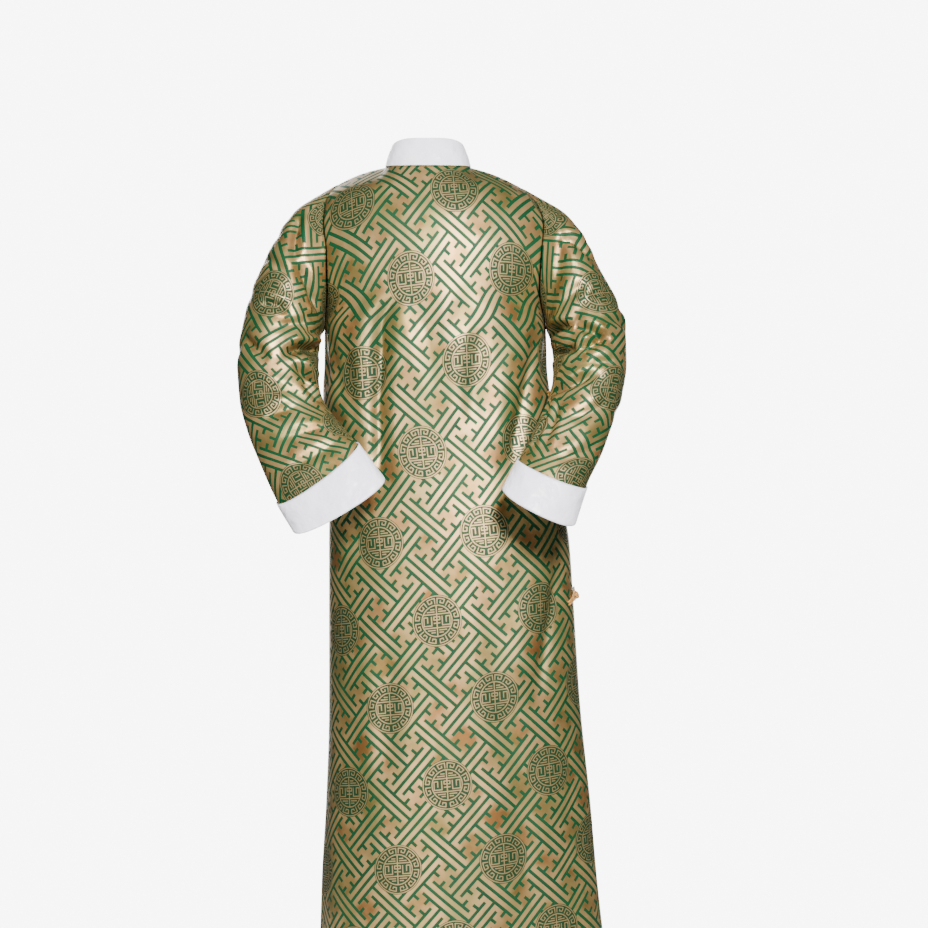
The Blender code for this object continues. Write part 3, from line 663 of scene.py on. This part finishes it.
def crease_height(arm, rounds, along, points):
    """How far the folds of a sleeve stand out of its plain surface."""
    height = np.zeros(along.shape)
    steps = np.linspace(0, 1, CREASE_STEPS)
    for crease in CREASES[arm]:
        turn = crease.to_round - crease.round
        fall = crease.to_along - crease.along
        line = arm_points(arm, crease.round + turn * steps, (crease.along + fall * steps)[None])[0]
        place, gap = line_offset(points, line)
        ahead = (rounds - crease.round + .5) % 1 - .5
        above = (ahead * fall - (along - crease.along) * turn) * turn > 0
        off = np.where(above, gap, -gap) / crease.width
        ends = smooth((place + .05) / .35) * smooth((1.05 - place) / .35)
        upper = np.exp(-((off - CREASE_LIP_AWAY) / LIP_WIDTH) ** 2)
        lower = np.exp(-((off + CREASE_LIP_AWAY) / LIP_WIDTH) ** 2)
        height += crease.depth * ends * (LIP * upper + LOWER_LIP * lower - np.exp(-off ** 2))
    return height * smooth(along / .06)


def neck_outward(points):
    """Level direction out of the neck."""
    return unit(points * (1, 1, 0))


def sunk_seam(distance):
    """How far the cloth is drawn in beside a seam line."""
    return SEAM_SINK * np.exp(-(distance / SEAM_WIDTH) ** 2)


def body_surface(half, across, down):
    """The body's outer face with its folds, its seams drawn in, and its outward directions."""
    points = body_points(half, across, down)
    normals = raw_normals(half, across, down)
    other = raw_normals(-half, across, down)
    columns = np.broadcast_to(np.abs(across), down.shape)
    joined = (columns > .999) & (down >= UNDERARM)
    normals = np.where(joined[..., None], unit(normals + other), normals)
    top = down < .001
    neck = top & (columns < NECK_SHARE)
    normals = np.where((top & ~neck)[..., None], unit(normals + other), normals)
    normals = np.where(neck[..., None], unit(normals + neck_outward(points)), normals)
    height = fold_height(across, down, half) * smooth((1 - columns) / .08)
    sewn = smooth((SLIT_TOP + .02 - down) / .03)
    height -= sunk_seam((1 - columns) * half_reach(down)) * sewn
    height -= np.where(columns >= NECK_SHARE, sunk_seam(down), 0)
    height -= .5 * sunk_seam(down - (HEM - HEM_DEPTH))
    return points + normals * height[..., None], normals


def drawn_back(half, across, down, points):
    """The panel's points with its free side edges drawn back beside the slits."""
    spread = SLIT_SPREAD / 2 * smooth((down - SLIT_TOP) / (HEM - SLIT_TOP)) / SIDE_STRETCH
    near = smooth((np.abs(across) - (1 - EDGE_BAND)) / EDGE_BAND)[None, :, None]
    inwards = body_points(half, across * (1 - EDGE_BAND), down) - body_points(half, across, down)
    return points + inwards * near * (spread / EDGE_BAND)[..., None]


def sleeve_surface(arm, rounds, along):
    """A sleeve's outer face with its folds, its armhole seam drawn in, and its directions."""
    points = arm_points(arm, rounds, along)
    normals = arm_normals(arm, rounds, along)
    height = crease_height(arm, rounds, along, points) - sunk_seam(along)
    return points + normals * height[..., None], normals


def summed(steps):
    """The sum of the steps down each column, from 0."""
    return np.concatenate([np.zeros((1, steps.shape[1])), np.cumsum(steps, axis=0)])


def run_across(points, v, centre):
    """Distance across the flat cloth from a centre column, once v is known."""
    edges = np.linalg.norm(np.diff(points, axis=1), axis=2)
    steps = np.sqrt(np.maximum(edges ** 2 - np.diff(v, axis=1) ** 2, (.3 * edges) ** 2))
    u = summed(steps.T).T
    return u - u[:, [centre]]


def eased(field, reach):
    """The field with its bends evened out down each column."""
    weights = np.exp(-(np.arange(-2 * reach, 2 * reach + 1) / reach) ** 2)
    weights /= weights.sum()
    pad = 2 * reach
    above = 2 * field[:1] - field[pad:0:-1]
    below = 2 * field[-1:] - field[-2:-pad - 2:-1]
    tall = np.concatenate([above, field, below])
    return sum(w * tall[k:k + len(field)] for k, w in enumerate(weights))


def flat_cut(points, centre, level=0, reach=0):
    """Each point's place in the flat cloth: across, and down its column from a level row."""
    drop = np.linalg.norm(np.diff(points, axis=0)[..., 1:], axis=2)
    v = summed(drop)
    v += v[level, centre] - v[level]
    u = run_across(points, v, centre)
    if reach:
        u = eased(u, reach)
    return np.stack([u, v], axis=-1)


def tucked(v, points, hollow):
    """Where a column has cloth to spare, the spare length lies in the hollows of its folds."""
    steps = np.linalg.norm(np.diff(points, axis=0), axis=2)
    length = summed(steps)
    taken = summed((hollow[1:] + hollow[:-1]) * steps)
    spare = v[-1] - v[0] - length[-1]
    blend = smooth(spare / TUCK_FROM)
    share = blend * taken / taken[-1] + (1 - blend) * length / length[-1]
    return v[0] + length + spare * share


def tube_cut(points, centre, hollow):
    """The flat place of each point of a tube: round it, and along its middle line."""
    middle = points[:, :-1].mean(axis=1)
    run = unit(np.gradient(middle, axis=0))
    v = run_length(middle)[:, None] + ((points - middle[:, None]) * run[:, None]).sum(axis=2)
    u = run_across(points, v, centre)
    return np.stack([u, tucked(v, points, hollow)], axis=-1)


def in_weave(flat, grain):
    """The flat place as the weave counts it, from a roundel's middle."""
    u, v = flat[..., 0] - grain.u, flat[..., 1] - grain.v
    if grain.turned:
        u, v = v, -u
    drop = (v + grain.tilt * u) * grain.long + grain.bow * v ** 2
    return np.stack([(u + grain.lean * v) * grain.wide, drop], axis=-1)


def placed(name, data):
    """A new object in the scene."""
    made = bpy.data.objects.new(name, data)
    bpy.context.scene.collection.objects.link(made)
    return made


def shell(name, points, flat, materials, thickness, flip=False, closed=False):
    """A thin sheet of cloth with its weave map, thickened inwards."""
    rows, columns = points.shape[:2]
    index = np.arange(rows * columns).reshape(rows, columns)
    if closed:
        index = np.concatenate([index, index[:, :1]], axis=1)
    corners = ((0, 0), (1, 0), (1, 1), (0, 1))
    if flip:
        corners = corners[::-1]
    ends = index.shape[0] - 1, index.shape[1] - 1
    quads = [index[r:r + ends[0], c:c + ends[1]] for r, c in corners]
    places = [flat[r:r + ends[0], c:c + ends[1]] for r, c in corners]
    mesh = bpy.data.meshes.new(name)
    faces = np.stack(quads, -1).reshape(-1, 4).tolist()
    mesh.from_pydata(points.reshape(-1, 3).tolist(), [], faces)
    layer = mesh.uv_layers.new(name="weave")
    layer.data.foreach_set("uv", np.stack(places, 2).reshape(-1).tolist())
    mesh.shade_smooth()
    for material in materials:
        mesh.materials.append(material)
    made = placed(name, mesh)
    thick = made.modifiers.new("cloth", "SOLIDIFY")
    thick.thickness = thickness
    thick.offset = -1
    thick.material_offset = len(materials) - 1
    return made


def linear(code):
    """A colour written as sRGB hex, as the renderer's linear numbers."""
    parts = [int(code[k:k + 2], 16) / 255 for k in (1, 3, 5)]
    return tuple(c / 12.92 if c <= .04045 else ((c + .055) / 1.055) ** 2.4 for c in parts) + (1,)


class Field:
    """A number worked out by the material at each point, with ordinary arithmetic."""

    def __init__(self, tree, socket):
        self.tree = tree
        self.socket = socket

    def math(self, operation, *others):
        inputs = dict(enumerate((self, *others)))
        node = add_node(self.tree, "ShaderNodeMath", inputs, operation=operation)
        return Field(self.tree, node.outputs[0])

    def __add__(self, other):
        return self.math("ADD", other)

    def __sub__(self, other):
        return self.math("SUBTRACT", other)

    def __mul__(self, other):
        return self.math("MULTIPLY", other)

    def __lt__(self, other):
        return self.math("LESS_THAN", other)

    def __abs__(self):
        return self.math("ABSOLUTE")

    def either(self, other):
        return self.math("MAXIMUM", other)

    def held(self, low, high):
        """The number, kept between two limits."""
        return self.math("MAXIMUM", low).math("MINIMUM", high)

    def rest(self):
        """What is missing to 1."""
        return self * -1 + 1


def add_node(tree, kind, inputs=(), **settings):
    """A shader node with its settings, its inputs joined to sockets or set to numbers."""
    node = tree.nodes.new(kind)
    for key, value in settings.items():
        setattr(node, key, value)
    for place, value in dict(inputs).items():
        value = value.socket if isinstance(value, Field) else value
        if isinstance(value, bpy.types.NodeSocket):
            tree.links.new(value, node.inputs[place])
        else:
            node.inputs[place].default_value = value
    return node


def new_material(name):
    """An empty material, its nodes and its surface."""
    material = bpy.data.materials.new(name)
    material.use_nodes = True
    tree = material.node_tree
    return material, tree, tree.nodes["Principled BSDF"]


def mixed(tree, share, first, second):
    """The first colour at share 0, the second at share 1."""
    inputs = {0: share, 6: first, 7: second}
    return add_node(tree, "ShaderNodeMix", inputs, data_type="RGBA").outputs[2]


def in_relief(tree, shader, height, strength, distance):
    """Gives a surface a fine relief."""
    inputs = {"Height": height, "Strength": strength, "Distance": distance}
    bump = add_node(tree, "ShaderNodeBump", inputs)
    tree.links.new(bump.outputs["Normal"], shader.inputs["Normal"])


def weave_map(tree):
    """The place in the flat cloth."""
    return add_node(tree, "ShaderNodeUVMap", uv_map="weave").outputs["UV"]


def stroke(offset, half_width, along, start, end):
    """1 on one straight line of the drawing: offset from its middle, along between its ends."""
    inside = abs(offset) < half_width
    middle, reach = (start + end) / 2, (end - start) / 2
    return inside * (abs(along - middle) < reach)


def three_bars(along, across):
    """One group of the fret: a long middle bar between two flanks with short stubs."""
    half = LINE / 2 / CELL
    middle = (across < half) * (along < 4)
    flank = (abs(across - 1) < half) * (along < 3 + half)
    stub = (abs(along - 2) < half) * (abs(across - 1.5) < .5)
    return middle.either(flank).either(stub)


def fret(s, t):
    """The all-over lattice laid on the diagonal: 1 on its interlocking bars, and a share of painted
    shade at its hubs (the gold drawn tan there, as floats that catch less light), fading outwards. s
    and t are in repeats."""
    a = ((s + t) * 5).math("PINGPONG", 5.0)
    b = ((s - t) * 5).math("PINGPONG", 5.0)
    far_a, far_b = a * -1 + 5, b * -1 + 5
    bars = three_bars(a, b)
    for along, across in ((b, far_a), (far_b, a), (far_a, far_b)):
        bars = bars.either(three_bars(along, across))
    # Painted shade: the gold turns tan near each hub, fully within about a cell of it
    hub_shade = (abs(a - 2.5).either(abs(b - 2.5)) * -1 + 1.9).math("MULTIPLY", 1.2)
    return bars, hub_shade


def roundel(s, t):
    """The round longevity roundel: 1 on its fine lines, and 1 inside its edge."""
    a, b = s.math("PINGPONG", 1.0), t.math("WRAP", 1.5, -1.5)
    other = (t - 1.5).math("WRAP", 1.5, -1.5)
    near = (a * 2 + abs(b) * 3) < 3.25
    a = near * (a * 2 - 1) + 1 - a
    b = near * (b - other) + other
    a, b = a * (REPEAT / MM), b * (REPEAT / MM)
    radius = (a * a + b * b).math("SQRT")
    cell = (b.math("ARCTAN2", a) * (KEYS / 2 / math.pi)).math("FRACT") * KEY_CELL
    band = radius - KEY_FOOT
    lines = (abs(radius - OUTER_RING) < KEY_LINE).either(abs(radius - INNER_RING) < SIGN_LINE)
    for offset, along, start, end in (
            (cell - 2.0, band, .3, 9.6), (band - 8.8, cell, 2.0, 13.6), (cell - 12.8, band, 2.4, 8.8),
            (band - 2.6, cell, 6.4, 12.8), (cell - 7.2, band, 2.6, 5.9)):
        lines = lines.either(stroke(offset, KEY_LINE, along, start, end))
    level = abs(b)
    for offset, along, start, end in (
            (a, b, -24, 24), (level - 10.6, a, -1, 21.5), (level - 14.4, a, 3.0, 15.5),
            (level - 18.0, a, 3.0, 10.0), (b - 7.0, a, 8.0, 21.8), (a - 8.6, b, -7.2, 7.6),
            (a - 21.0, b, -6.8, 7.6), (b + 6.4, a, 14.6, 21.4), (a - 15.0, b, -6.8, 2.8),
            (b + 6.4, a, 0, 5.4), (b + 1.6, a, 0, 5.4), (b - 3.4, a, 0, 5.4), (a - 4.8, b, -6.6, -1.6)):
        lines = lines.either(stroke(offset, SIGN_LINE, along, start, end))
    return lines, radius < ROUNDEL / MM


def cloud(tree, place, scale, detail=2.0):
    """Soft random patches, from 0 to 1."""
    inputs = {"Vector": place, "Scale": scale, "Detail": detail}
    return Field(tree, add_node(tree, "ShaderNodeTexNoise", inputs).outputs["Fac"])


def brocade(name, wrong_side=False):
    """Silk brocade: smooth gold floats, and green as the fret's bars and the roundels' ground. The
    gold's tan is painted shade at the hubs mixed with tone that differs at random. The wrong side is
    duller."""
    material, tree, shader = new_material(name)
    weave = weave_map(tree)
    parts = add_node(tree, "ShaderNodeSeparateXYZ", {"Vector": weave})
    u, v = Field(tree, parts.outputs["X"]), Field(tree, parts.outputs["Y"])
    s, t = u * (1 / REPEAT), v * (1 / REPEAT)
    bars, hub_shade = fret(s + FRET_START[0], t + FRET_START[1])
    lines, inside = roundel(s, t)
    patches = cloud(tree, weave, 16.0)
    flecks = cloud(tree, weave, 70.0)
    # Tan in the gold: painted shade at the hubs, where floats catch less light, mixed with random
    # patches and flecks of tone
    tan_and_shade = hub_shade.held(0.0, 1.0) * (patches * 2.2 - .6)
    tan_and_shade = tan_and_shade + (patches - .5) * .6 + (flecks - .5) * .5 + .12
    gold = mixed(tree, tan_and_shade.held(0.0, 1.0), linear(GOLD_THREAD), linear(TAN_AND_PAINTED_SHADE))
    # Olive streaks running down the cloth: partly the green warp showing through, partly painted shade
    # of gold that catches no light
    streaks = add_node(tree, "ShaderNodeMapping", {"Vector": weave, "Scale": (2.2, 1.0, 1.0)})
    warp_and_shade = (cloud(tree, streaks.outputs[0], 9.0) - .42) * 2.2
    gold = mixed(tree, warp_and_shade.held(0.0, .5), gold, linear(OLIVE_STREAK))
    green = mixed(tree, patches, linear(GREEN_DEEP), linear(GREEN_LIGHT))
    field = mixed(tree, bars, gold, green)
    medal = mixed(tree, lines, linear(ROUNDEL_GROUND), linear(ROUNDEL_LINES))
    colour = mixed(tree, inside, field, medal)
    is_green = inside.rest() * bars + inside * lines.rest()
    shine = is_green.rest()
    if wrong_side:
        colour = mixed(tree, .55, colour, linear(WRONG_SIDE))
    tree.links.new(colour, shader.inputs["Base Color"])
    metal = .0 if wrong_side else GOLD_METAL
    tree.links.new((shine * metal + .02).socket, shader.inputs["Metallic"])
    tree.links.new((shine * -DULL_LESS + DULL).socket, shader.inputs["Roughness"])
    shader.inputs["Specular IOR Level"].default_value = SPECULAR
    threads = add_node(tree, "ShaderNodeMapping", {"Vector": weave, "Scale": (520.0, 1500.0, 1.0)})
    grain = cloud(tree, threads.outputs[0], 1.0, detail=1.0)
    in_relief(tree, shader, grain, .35, .0006)
    return material


def white_satin():
    """White satin: a soft broad shine and faint puckers, with painted lavender shade in the puckers'
    hollows and painted light on their crests.
    """
    material, tree, shader = new_material("white_satin")
    weave = weave_map(tree)
    puckers = cloud(tree, weave, 28.0, detail=3.0)
    # Painted shade and light: the lavender shade tone where the puckers sink, the light tone where they
    # rise
    tone_with_painted_shade = mixed(tree, puckers, linear(SATIN_SHADE), linear(SATIN_LIGHT))
    tree.links.new(tone_with_painted_shade, shader.inputs["Base Color"])
    shader.inputs["Roughness"].default_value = .36
    shader.inputs["Sheen Weight"].default_value = .25
    in_relief(tree, shader, puckers, .8, .008)
    return material


def gold_cord():
    """Gold silk cord in two close tones, the darker one painted shade in the hollows of its fibre
    relief and the lighter one painted light on its crests; its twist is in the form.
    """
    material, tree, shader = new_material("gold_cord")
    place = add_node(tree, "ShaderNodeTexCoord").outputs["Object"]
    fibres = cloud(tree, place, 900.0)
    # Painted shade and light: the shade tone where the fibres sink, the light tone where they rise
    tone_with_painted_shade = mixed(tree, fibres, linear(CORD_SHADE), linear(CORD_LIGHT))
    tree.links.new(tone_with_painted_shade, shader.inputs["Base Color"])
    shader.inputs["Roughness"].default_value = .45
    shader.inputs["Sheen Weight"].default_value = .3
    in_relief(tree, shader, fibres, .5, .0004)
    return material


BROCADE = brocade("brocade_face")
BROCADE_BACK = brocade("brocade_wrong_side", wrong_side=True)
SATIN_FACE = white_satin()
GOLD = gold_cord()


def body_places():
    """Rows and columns of a full panel."""
    across = np.linspace(-1, 1, BODY_COLUMNS)
    down = np.repeat(np.linspace(0, HEM, BODY_ROWS)[:, None], BODY_COLUMNS, axis=1)
    return across, down


def closure_down(across):
    """How far down the large front's upper edge lies."""
    places = np.array([c.across for c in CLOSURE[::-1]])
    downs = np.array([c.down for c in CLOSURE[::-1]])
    return np.where(across < 0, np.interp(across, places, downs), 0.0)


def lap_depth(across, down):
    """How deep the under-front lies below the outer face."""
    line = closure_down(across)[None, :]
    off_seam = smooth((across + 1) / SEAM_LAP_WIDTH)[None, :]
    inside = np.maximum(off_seam, smooth((SEAM_LAP_TOP - down) / SEAM_LAP_RAMP))
    full = LAP_AT_SEAM + (LAP - LAP_AT_SEAM) * inside
    depth = full * smooth((down - line + LAP_LEAD) / LAP_RAMP + 1)
    outer = (across < NECK_LAP_SIDE)[None, :]
    return np.where(outer, depth * smooth(down / NECK_LAP_RAMP), depth)


def panel(name, half, across, down, sink=None):
    """One body panel as a shell, mapped to its flat cut."""
    points = body_surface(half, across, down)[0]
    points = drawn_back(half, across, down, points)
    if sink is not None:
        points = points - raw_normals(half, across, down) * sink[..., None]
    centre = int(np.argmin(np.abs(across)))
    plain = body_points(half, across, down)
    level = (np.ptp(down, axis=1) < 1e-9) & (down[:, 0] >= UNDERARM)
    flat = flat_cut(plain, centre, int(np.argmax(level)), EASE_ROWS)
    flat[..., 0] *= -half
    woven = in_weave(flat, GRAINS[name])
    return shell(name + "_cloth", points, woven, (BROCADE, BROCADE_BACK), CLOTH, flip=half > 0)


def make_back():
    """The whole back."""
    return panel("back", 1, *body_places())


def make_front_outer():
    """The large front, its rows led from the closure to level ones."""
    across, down = body_places()
    start = closure_down(across)
    low = UNDERARM + LEVEL_AGAIN
    share = np.clip(down / low, 0, 1)
    down = np.where(down < low, start + (low - start) * share, down)
    return panel("front_outer", -1, across, down)


def make_front_inner():
    """The under-front, laid below the large front from the right side to past the middle."""
    columns = round(BODY_COLUMNS * (1 + UNDER_FRONT_EDGE) / 2)
    across = np.linspace(-1, UNDER_FRONT_EDGE, columns)
    down = np.repeat(np.linspace(0, UNDER_FRONT_END, BODY_ROWS * 3 // 5)[:, None], columns, axis=1)
    return panel("front_inner", -1, across, down, lap_depth(across, down))


def make_sleeve(name, arm):
    """A sleeve from its underarm seam round the front, the outside and the back."""
    rounds = UNDER_SEAM + np.arange(SLEEVE_COLUMNS + 1) / SLEEVE_COLUMNS
    along = np.repeat(np.linspace(0, SLEEVE_END, SLEEVE_LINES)[:, None], len(rounds), axis=1)
    points = sleeve_surface(arm, rounds % 1, along)[0]
    plain = arm_points(arm, rounds, along)
    hollow = np.maximum(-crease_height(arm, rounds % 1, along, plain), 0) + TUCK_LEAST
    flat = tube_cut(plain, SLEEVE_COLUMNS * 3 // 4, hollow)
    flat[..., 0] *= arm
    woven = in_weave(flat, GRAINS[name])
    return shell(name + "_cloth", points[:, :-1], woven, (BROCADE, BROCADE_BACK), CLOTH,
                 flip=arm < 0, closed=True)


def make_cuff(name, arm):
    """The turned-back cuff: from under its upper edge, down the outside, round and inside."""
    rounds = np.arange(SLEEVE_COLUMNS + 1) / SLEEVE_COLUMNS
    outside, inside = CUFF_CLEAR + WALL, -WALL - CUFF_CLEAR
    steps = [(CUFF_START + .006, CUFF_CLEAR + .0004), (CUFF_START + .001, CUFF_CLEAR + .0005)]
    steps += [(v, outside) for v in np.linspace(CUFF_START, SLEEVE_END, CUFF_LINES)]
    middle, radius = (outside + inside) / 2, (outside - inside) / 2
    for angle in range(20, 161, 20):
        turn = math.radians(angle)
        steps.append((SLEEVE_END + CUFF_BEND * math.sin(turn), middle + radius * math.cos(turn)))
    steps += [(v, inside) for v in np.linspace(SLEEVE_END, CUFF_INSIDE, 5)]
    lines = []
    for along, height in steps:
        place = np.full((1, len(rounds)), min(along, SLEEVE_END))
        points, normals = sleeve_surface(arm, rounds, place)
        run = unit(points[0] - sleeve_surface(arm, rounds, place - .02)[0][0])
        lines.append(points[0] + normals[0] * height + run * max(along - SLEEVE_END, 0))
    points = np.array(lines)
    flat = flat_cut(points, SLEEVE_COLUMNS // 4)
    return shell(name + "_cloth", points[:, :-1], flat, (SATIN_FACE,), CLOTH, flip=arm < 0,
                 closed=True)


def collar_foot():
    """The neckline, from its left front end to its right front end."""
    steps = np.linspace(0, NECK_SHARE, 41)
    ring = []
    for half, side, order in ((-1, 1, 1), (1, 1, -1), (1, -1, 1), (-1, -1, -1)):
        across = side * np.maximum(steps, 1e-5)
        part = body_points(half, across, np.zeros((1, len(steps))))[0][::order]
        ring.append(part if not ring else part[1:])
    foot = np.concatenate(ring)
    for end, near in ((0, 1), (-1, -2)):
        foot[end] += unit(foot[near] - foot[end]) * COLLAR_OPENING / 2
    return foot


def make_collar():
    """The standing collar, its front corners rounded."""
    foot = collar_foot()
    out = neck_outward(foot)
    length = run_length(foot)
    ends = np.minimum(length, length[-1] - length)
    corner = np.clip(1 - ends / COLLAR_CORNER, 0, 1)
    height = COLLAR_HEIGHT - COLLAR_CORNER * (1 - np.sqrt(1 - corner ** 2))
    height -= COLLAR_FALL * smooth((NECK_BACK[1] - foot[:, 1]) / NECK_BACK[1])
    forward = smooth(-foot[:, 1] / -NECK_FRONT[1])
    points = []
    for share in np.linspace(0, 1, 17):
        rise = height * share
        spot = foot - out * (COLLAR_LEAN * rise)[:, None]
        spot[:, 1] += COLLAR_FORWARD * forward * rise
        spot[:, 2] += rise
        points.append(spot + out * (COLLAR_BULGE * math.sin(share * math.pi)))
    points = np.array(points)
    flat = flat_cut(points, len(foot) // 2)
    piece = shell("collar_cloth", points, flat, (SATIN_FACE,), SATIN)
    soft = piece.modifiers.new("edge", "BEVEL")
    soft.width = COLLAR_SOFT
    soft.segments = 2
    return piece


def front_spot(across, down):
    """A point of the front's outer face, or of the back's beyond the right side."""
    half, place = (-1, across) if across > -1 else (1, -2 - across)
    spot, normal = body_surface(half, np.array([place]), np.array([[max(down, .0005)]]))
    return spot[0, 0], normal[0, 0]


@functools.lru_cache(maxsize=None)
def frog_frame(frog):
    """The frog's arm and cross directions, and how the cloth runs there."""
    step = .01
    spot, normal = front_spot(frog.across, frog.down)
    ahead = front_spot(frog.across + step, frog.down)[0]
    behind = front_spot(frog.across - step, frog.down)[0]
    by_across = (ahead - behind) / (2 * step)
    by_down = (front_spot(frog.across, frog.down + step)[0] - spot) / step
    arm = unit(unit(by_across) * frog.arm_across + unit(by_down) * frog.arm_down)
    return arm, np.cross(normal, arm), np.stack([by_across, by_down], axis=1)


def frog_point(frog, forward, aside, lift):
    """A place on a frog: forward along its arms, aside across them, lifted off."""
    arm, cross, run = frog_frame(frog)
    move = np.linalg.lstsq(run, arm * forward + cross * aside, rcond=None)[0]
    across, down = frog.across + move[0], frog.down + move[1]
    spot, normal = front_spot(across, down)
    if across > -1 and forward < -KNOT:
        lift -= max(lap_depth(np.array([across]), np.array([[down]]))[0, 0] - .001, 0)
    return spot + normal * lift


def rounded_path(points, fine=10):
    """A smooth curve through the given points."""
    points = np.array(points)
    padded = np.concatenate([[2 * points[0] - points[1]], points, [2 * points[-1] - points[-2]]])
    out = []
    for k in range(1, len(padded) - 2):
        p0, p1, p2, p3 = padded[k - 1:k + 3]
        for f in np.arange(fine) / fine:
            out.append(.5 * (2 * p1 + (p2 - p0) * f + (2 * p0 - 5 * p1 + 4 * p2 - p3) * f ** 2
                             + (3 * p1 - p0 - 3 * p2 + p3) * f ** 3))
    out.append(points[-1])
    return np.array(out)


def twisted_cord(form, path, radius=CORD / 2, sides=12, lay=.0055):
    """A two-strand cord along a path, its section a turning figure of eight."""
    run = unit(np.gradient(path, axis=0))
    length = run_length(path)
    side = unit(np.cross(run[0], (0.3, 0.2, 0.9)))
    rings = []
    for k, centre in enumerate(path):
        side = unit(side - run[k] * np.dot(side, run[k]))
        up = np.cross(run[k], side)
        ring = []
        for n in range(sides):
            angle = n / sides * 2 * math.pi
            wave = 1 - STRAND_CUT * abs(math.sin(angle - length[k] / lay * math.pi)) ** 3
            spot = centre + (side * math.cos(angle) + up * math.sin(angle)) * radius * wave
            ring.append(form.verts.new(spot))
        rings.append(ring)
    for a, b in zip(rings, rings[1:]):
        for n in range(sides):
            m = (n + 1) % sides
            form.faces.new((a[n], a[m], b[m], b[n]))
    form.faces.new(rings[0][::-1])
    form.faces.new(rings[-1])


def form_object(name, form, material):
    """A drawn form as an object of the scene."""
    mesh = bpy.data.meshes.new(name)
    form.to_mesh(mesh)
    form.free()
    mesh.shade_smooth()
    mesh.materials.append(material)
    return placed(name, mesh)


def make_loop_half(frog):
    """A doubled cord whose end opens into the loop that holds the knot."""
    path = [frog_point(frog, -FROG_ARM + k * .010, CORD_BESIDE, CORD_LOW) for k in range(3)]
    for angle in range(140, -141, -40):
        turn = math.radians(angle)
        path.append(frog_point(frog, LOOP * math.cos(turn), LOOP * math.sin(turn), CORD_LOW))
    path += [frog_point(frog, -FROG_ARM + k * .010, -CORD_BESIDE, CORD_LOW) for k in (2, 1, 0)]
    form = bmesh.new()
    twisted_cord(form, rounded_path(path))
    return form_object("frog_" + frog.name + "_loop_cord", form, GOLD)


def make_knot_half(frog):
    """A doubled cord that rises over the loop and ends in a ball knot of wound turns."""
    high = KNOT / 2 + KNOT_LIFT
    side = [(FROG_ARM, CORD_LOW), (.026, CORD_LOW), (.0165, CORD_LOW), (.0105, .0062), (.0062, .0073)]
    path = [frog_point(frog, f, CORD_BESIDE, h) for f, h in side]
    path.append(frog_point(frog, .0005, .0012, high))
    path.append(frog_point(frog, .0005, -.0012, high))
    path += [frog_point(frog, f, -CORD_BESIDE, h) for f, h in side[::-1]]
    form = bmesh.new()
    twisted_cord(form, rounded_path(path))
    centre = frog_point(frog, 0, 0, high)
    axis = unit(centre - frog_point(frog, 0, 0, 0))
    level = unit(np.cross(axis, (.1, .3, .9)))
    other = np.cross(axis, level)
    wound = []
    for f in np.linspace(0, 1, 110):
        tilt = math.radians(KNOT_TILT) * math.sin(f * 2 * math.pi * (KNOT_TURNS + 1) + .4)
        spin = f * 2 * math.pi * KNOT_TURNS
        flat = level * math.cos(spin) + other * math.sin(spin)
        way = math.cos(tilt) * flat + axis * math.sin(tilt)
        wound.append(centre + (KNOT / 2 - KNOT_SUNK) * way)
    twisted_cord(form, np.array(wound), radius=KNOT_CORD, sides=8, lay=.004)
    return form_object("frog_" + frog.name + "_knot_cord", form, GOLD)


def attach(piece, node):
    """Ties a piece to the model: it rides the one body and stands for a node, whose part is hidden."""
    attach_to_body(piece, "root")
    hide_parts(node)


sheets = {
    "back": make_back(),
    "front_outer": make_front_outer(),
    "front_inner": make_front_inner(),
    "sleeve_left": make_sleeve("sleeve_left", 1),
    "sleeve_right": make_sleeve("sleeve_right", -1),
    "cuff_left": make_cuff("cuff_left", 1),
    "cuff_right": make_cuff("cuff_right", -1),
    "collar": make_collar(),
}
for node, piece in sheets.items():
    attach(piece, node)
for frog in FROGS:
    attach(make_loop_half(frog), "frog_" + frog.name + "_loop")
    attach(make_knot_half(frog), "frog_" + frog.name + "_knot")


def floor():
    """A round pale floor under the gown."""
    form = bmesh.new()
    bmesh.ops.create_circle(form, cap_ends=True, segments=96, radius=FLOOR_RADIUS)
    material, _, shader = new_material("studio_floor")
    shader.inputs["Base Color"].default_value = linear(FLOOR_PAINT)
    shader.inputs["Roughness"].default_value = .8
    made = form_object("floor", form, material)
    made.location = (0, 0, FLOOR)


def softbox(lamp):
    """A round area lamp that looks at the gown."""
    light = bpy.data.lights.new(lamp.name, "AREA")
    light.shape = "DISK"
    light.size = lamp.width
    light.energy = lamp.watts
    made = placed(lamp.name, light)
    made.location = lamp.place
    way = Vector(LAMP_AIM) - Vector(lamp.place)
    made.rotation_euler = way.to_track_quat("-Z", "Y").to_euler()


def surroundings():
    """A pale room with a bright white wall behind the gown's front."""
    world = bpy.data.worlds.new("studio")
    world.use_nodes = True
    tree = world.node_tree
    way = add_node(tree, "ShaderNodeTexCoord").outputs["Generated"]
    parts = add_node(tree, "ShaderNodeSeparateXYZ", {"Vector": way})
    inputs = {"Value": parts.outputs["Y"], "From Min": WALL_EDGE, "From Max": WALL_FULL,
              "To Min": ROOM, "To Max": WALL_LIGHT}
    wall = add_node(tree, "ShaderNodeMapRange", inputs, interpolation_type="SMOOTHSTEP")
    tree.links.new(wall.outputs[0], tree.nodes["Background"].inputs["Strength"])
    tree.nodes["Background"].inputs["Color"].default_value = linear("#ffffff")
    bpy.context.scene.world = world


def studio():
    """Floor, light and the camera behind the gown."""
    floor()
    surroundings()
    for lamp in LAMPS:
        softbox(lamp)
    camera = bpy.data.cameras.new("camera")
    camera.lens = LENS
    camera.sensor_width = SENSOR
    made = placed("camera", camera)
    made.location = CAMERA_PLACE
    made.rotation_euler = (math.pi / 2, 0, math.pi)
    bpy.context.scene.camera = made


studio()
bpy.context.view_layer.update()
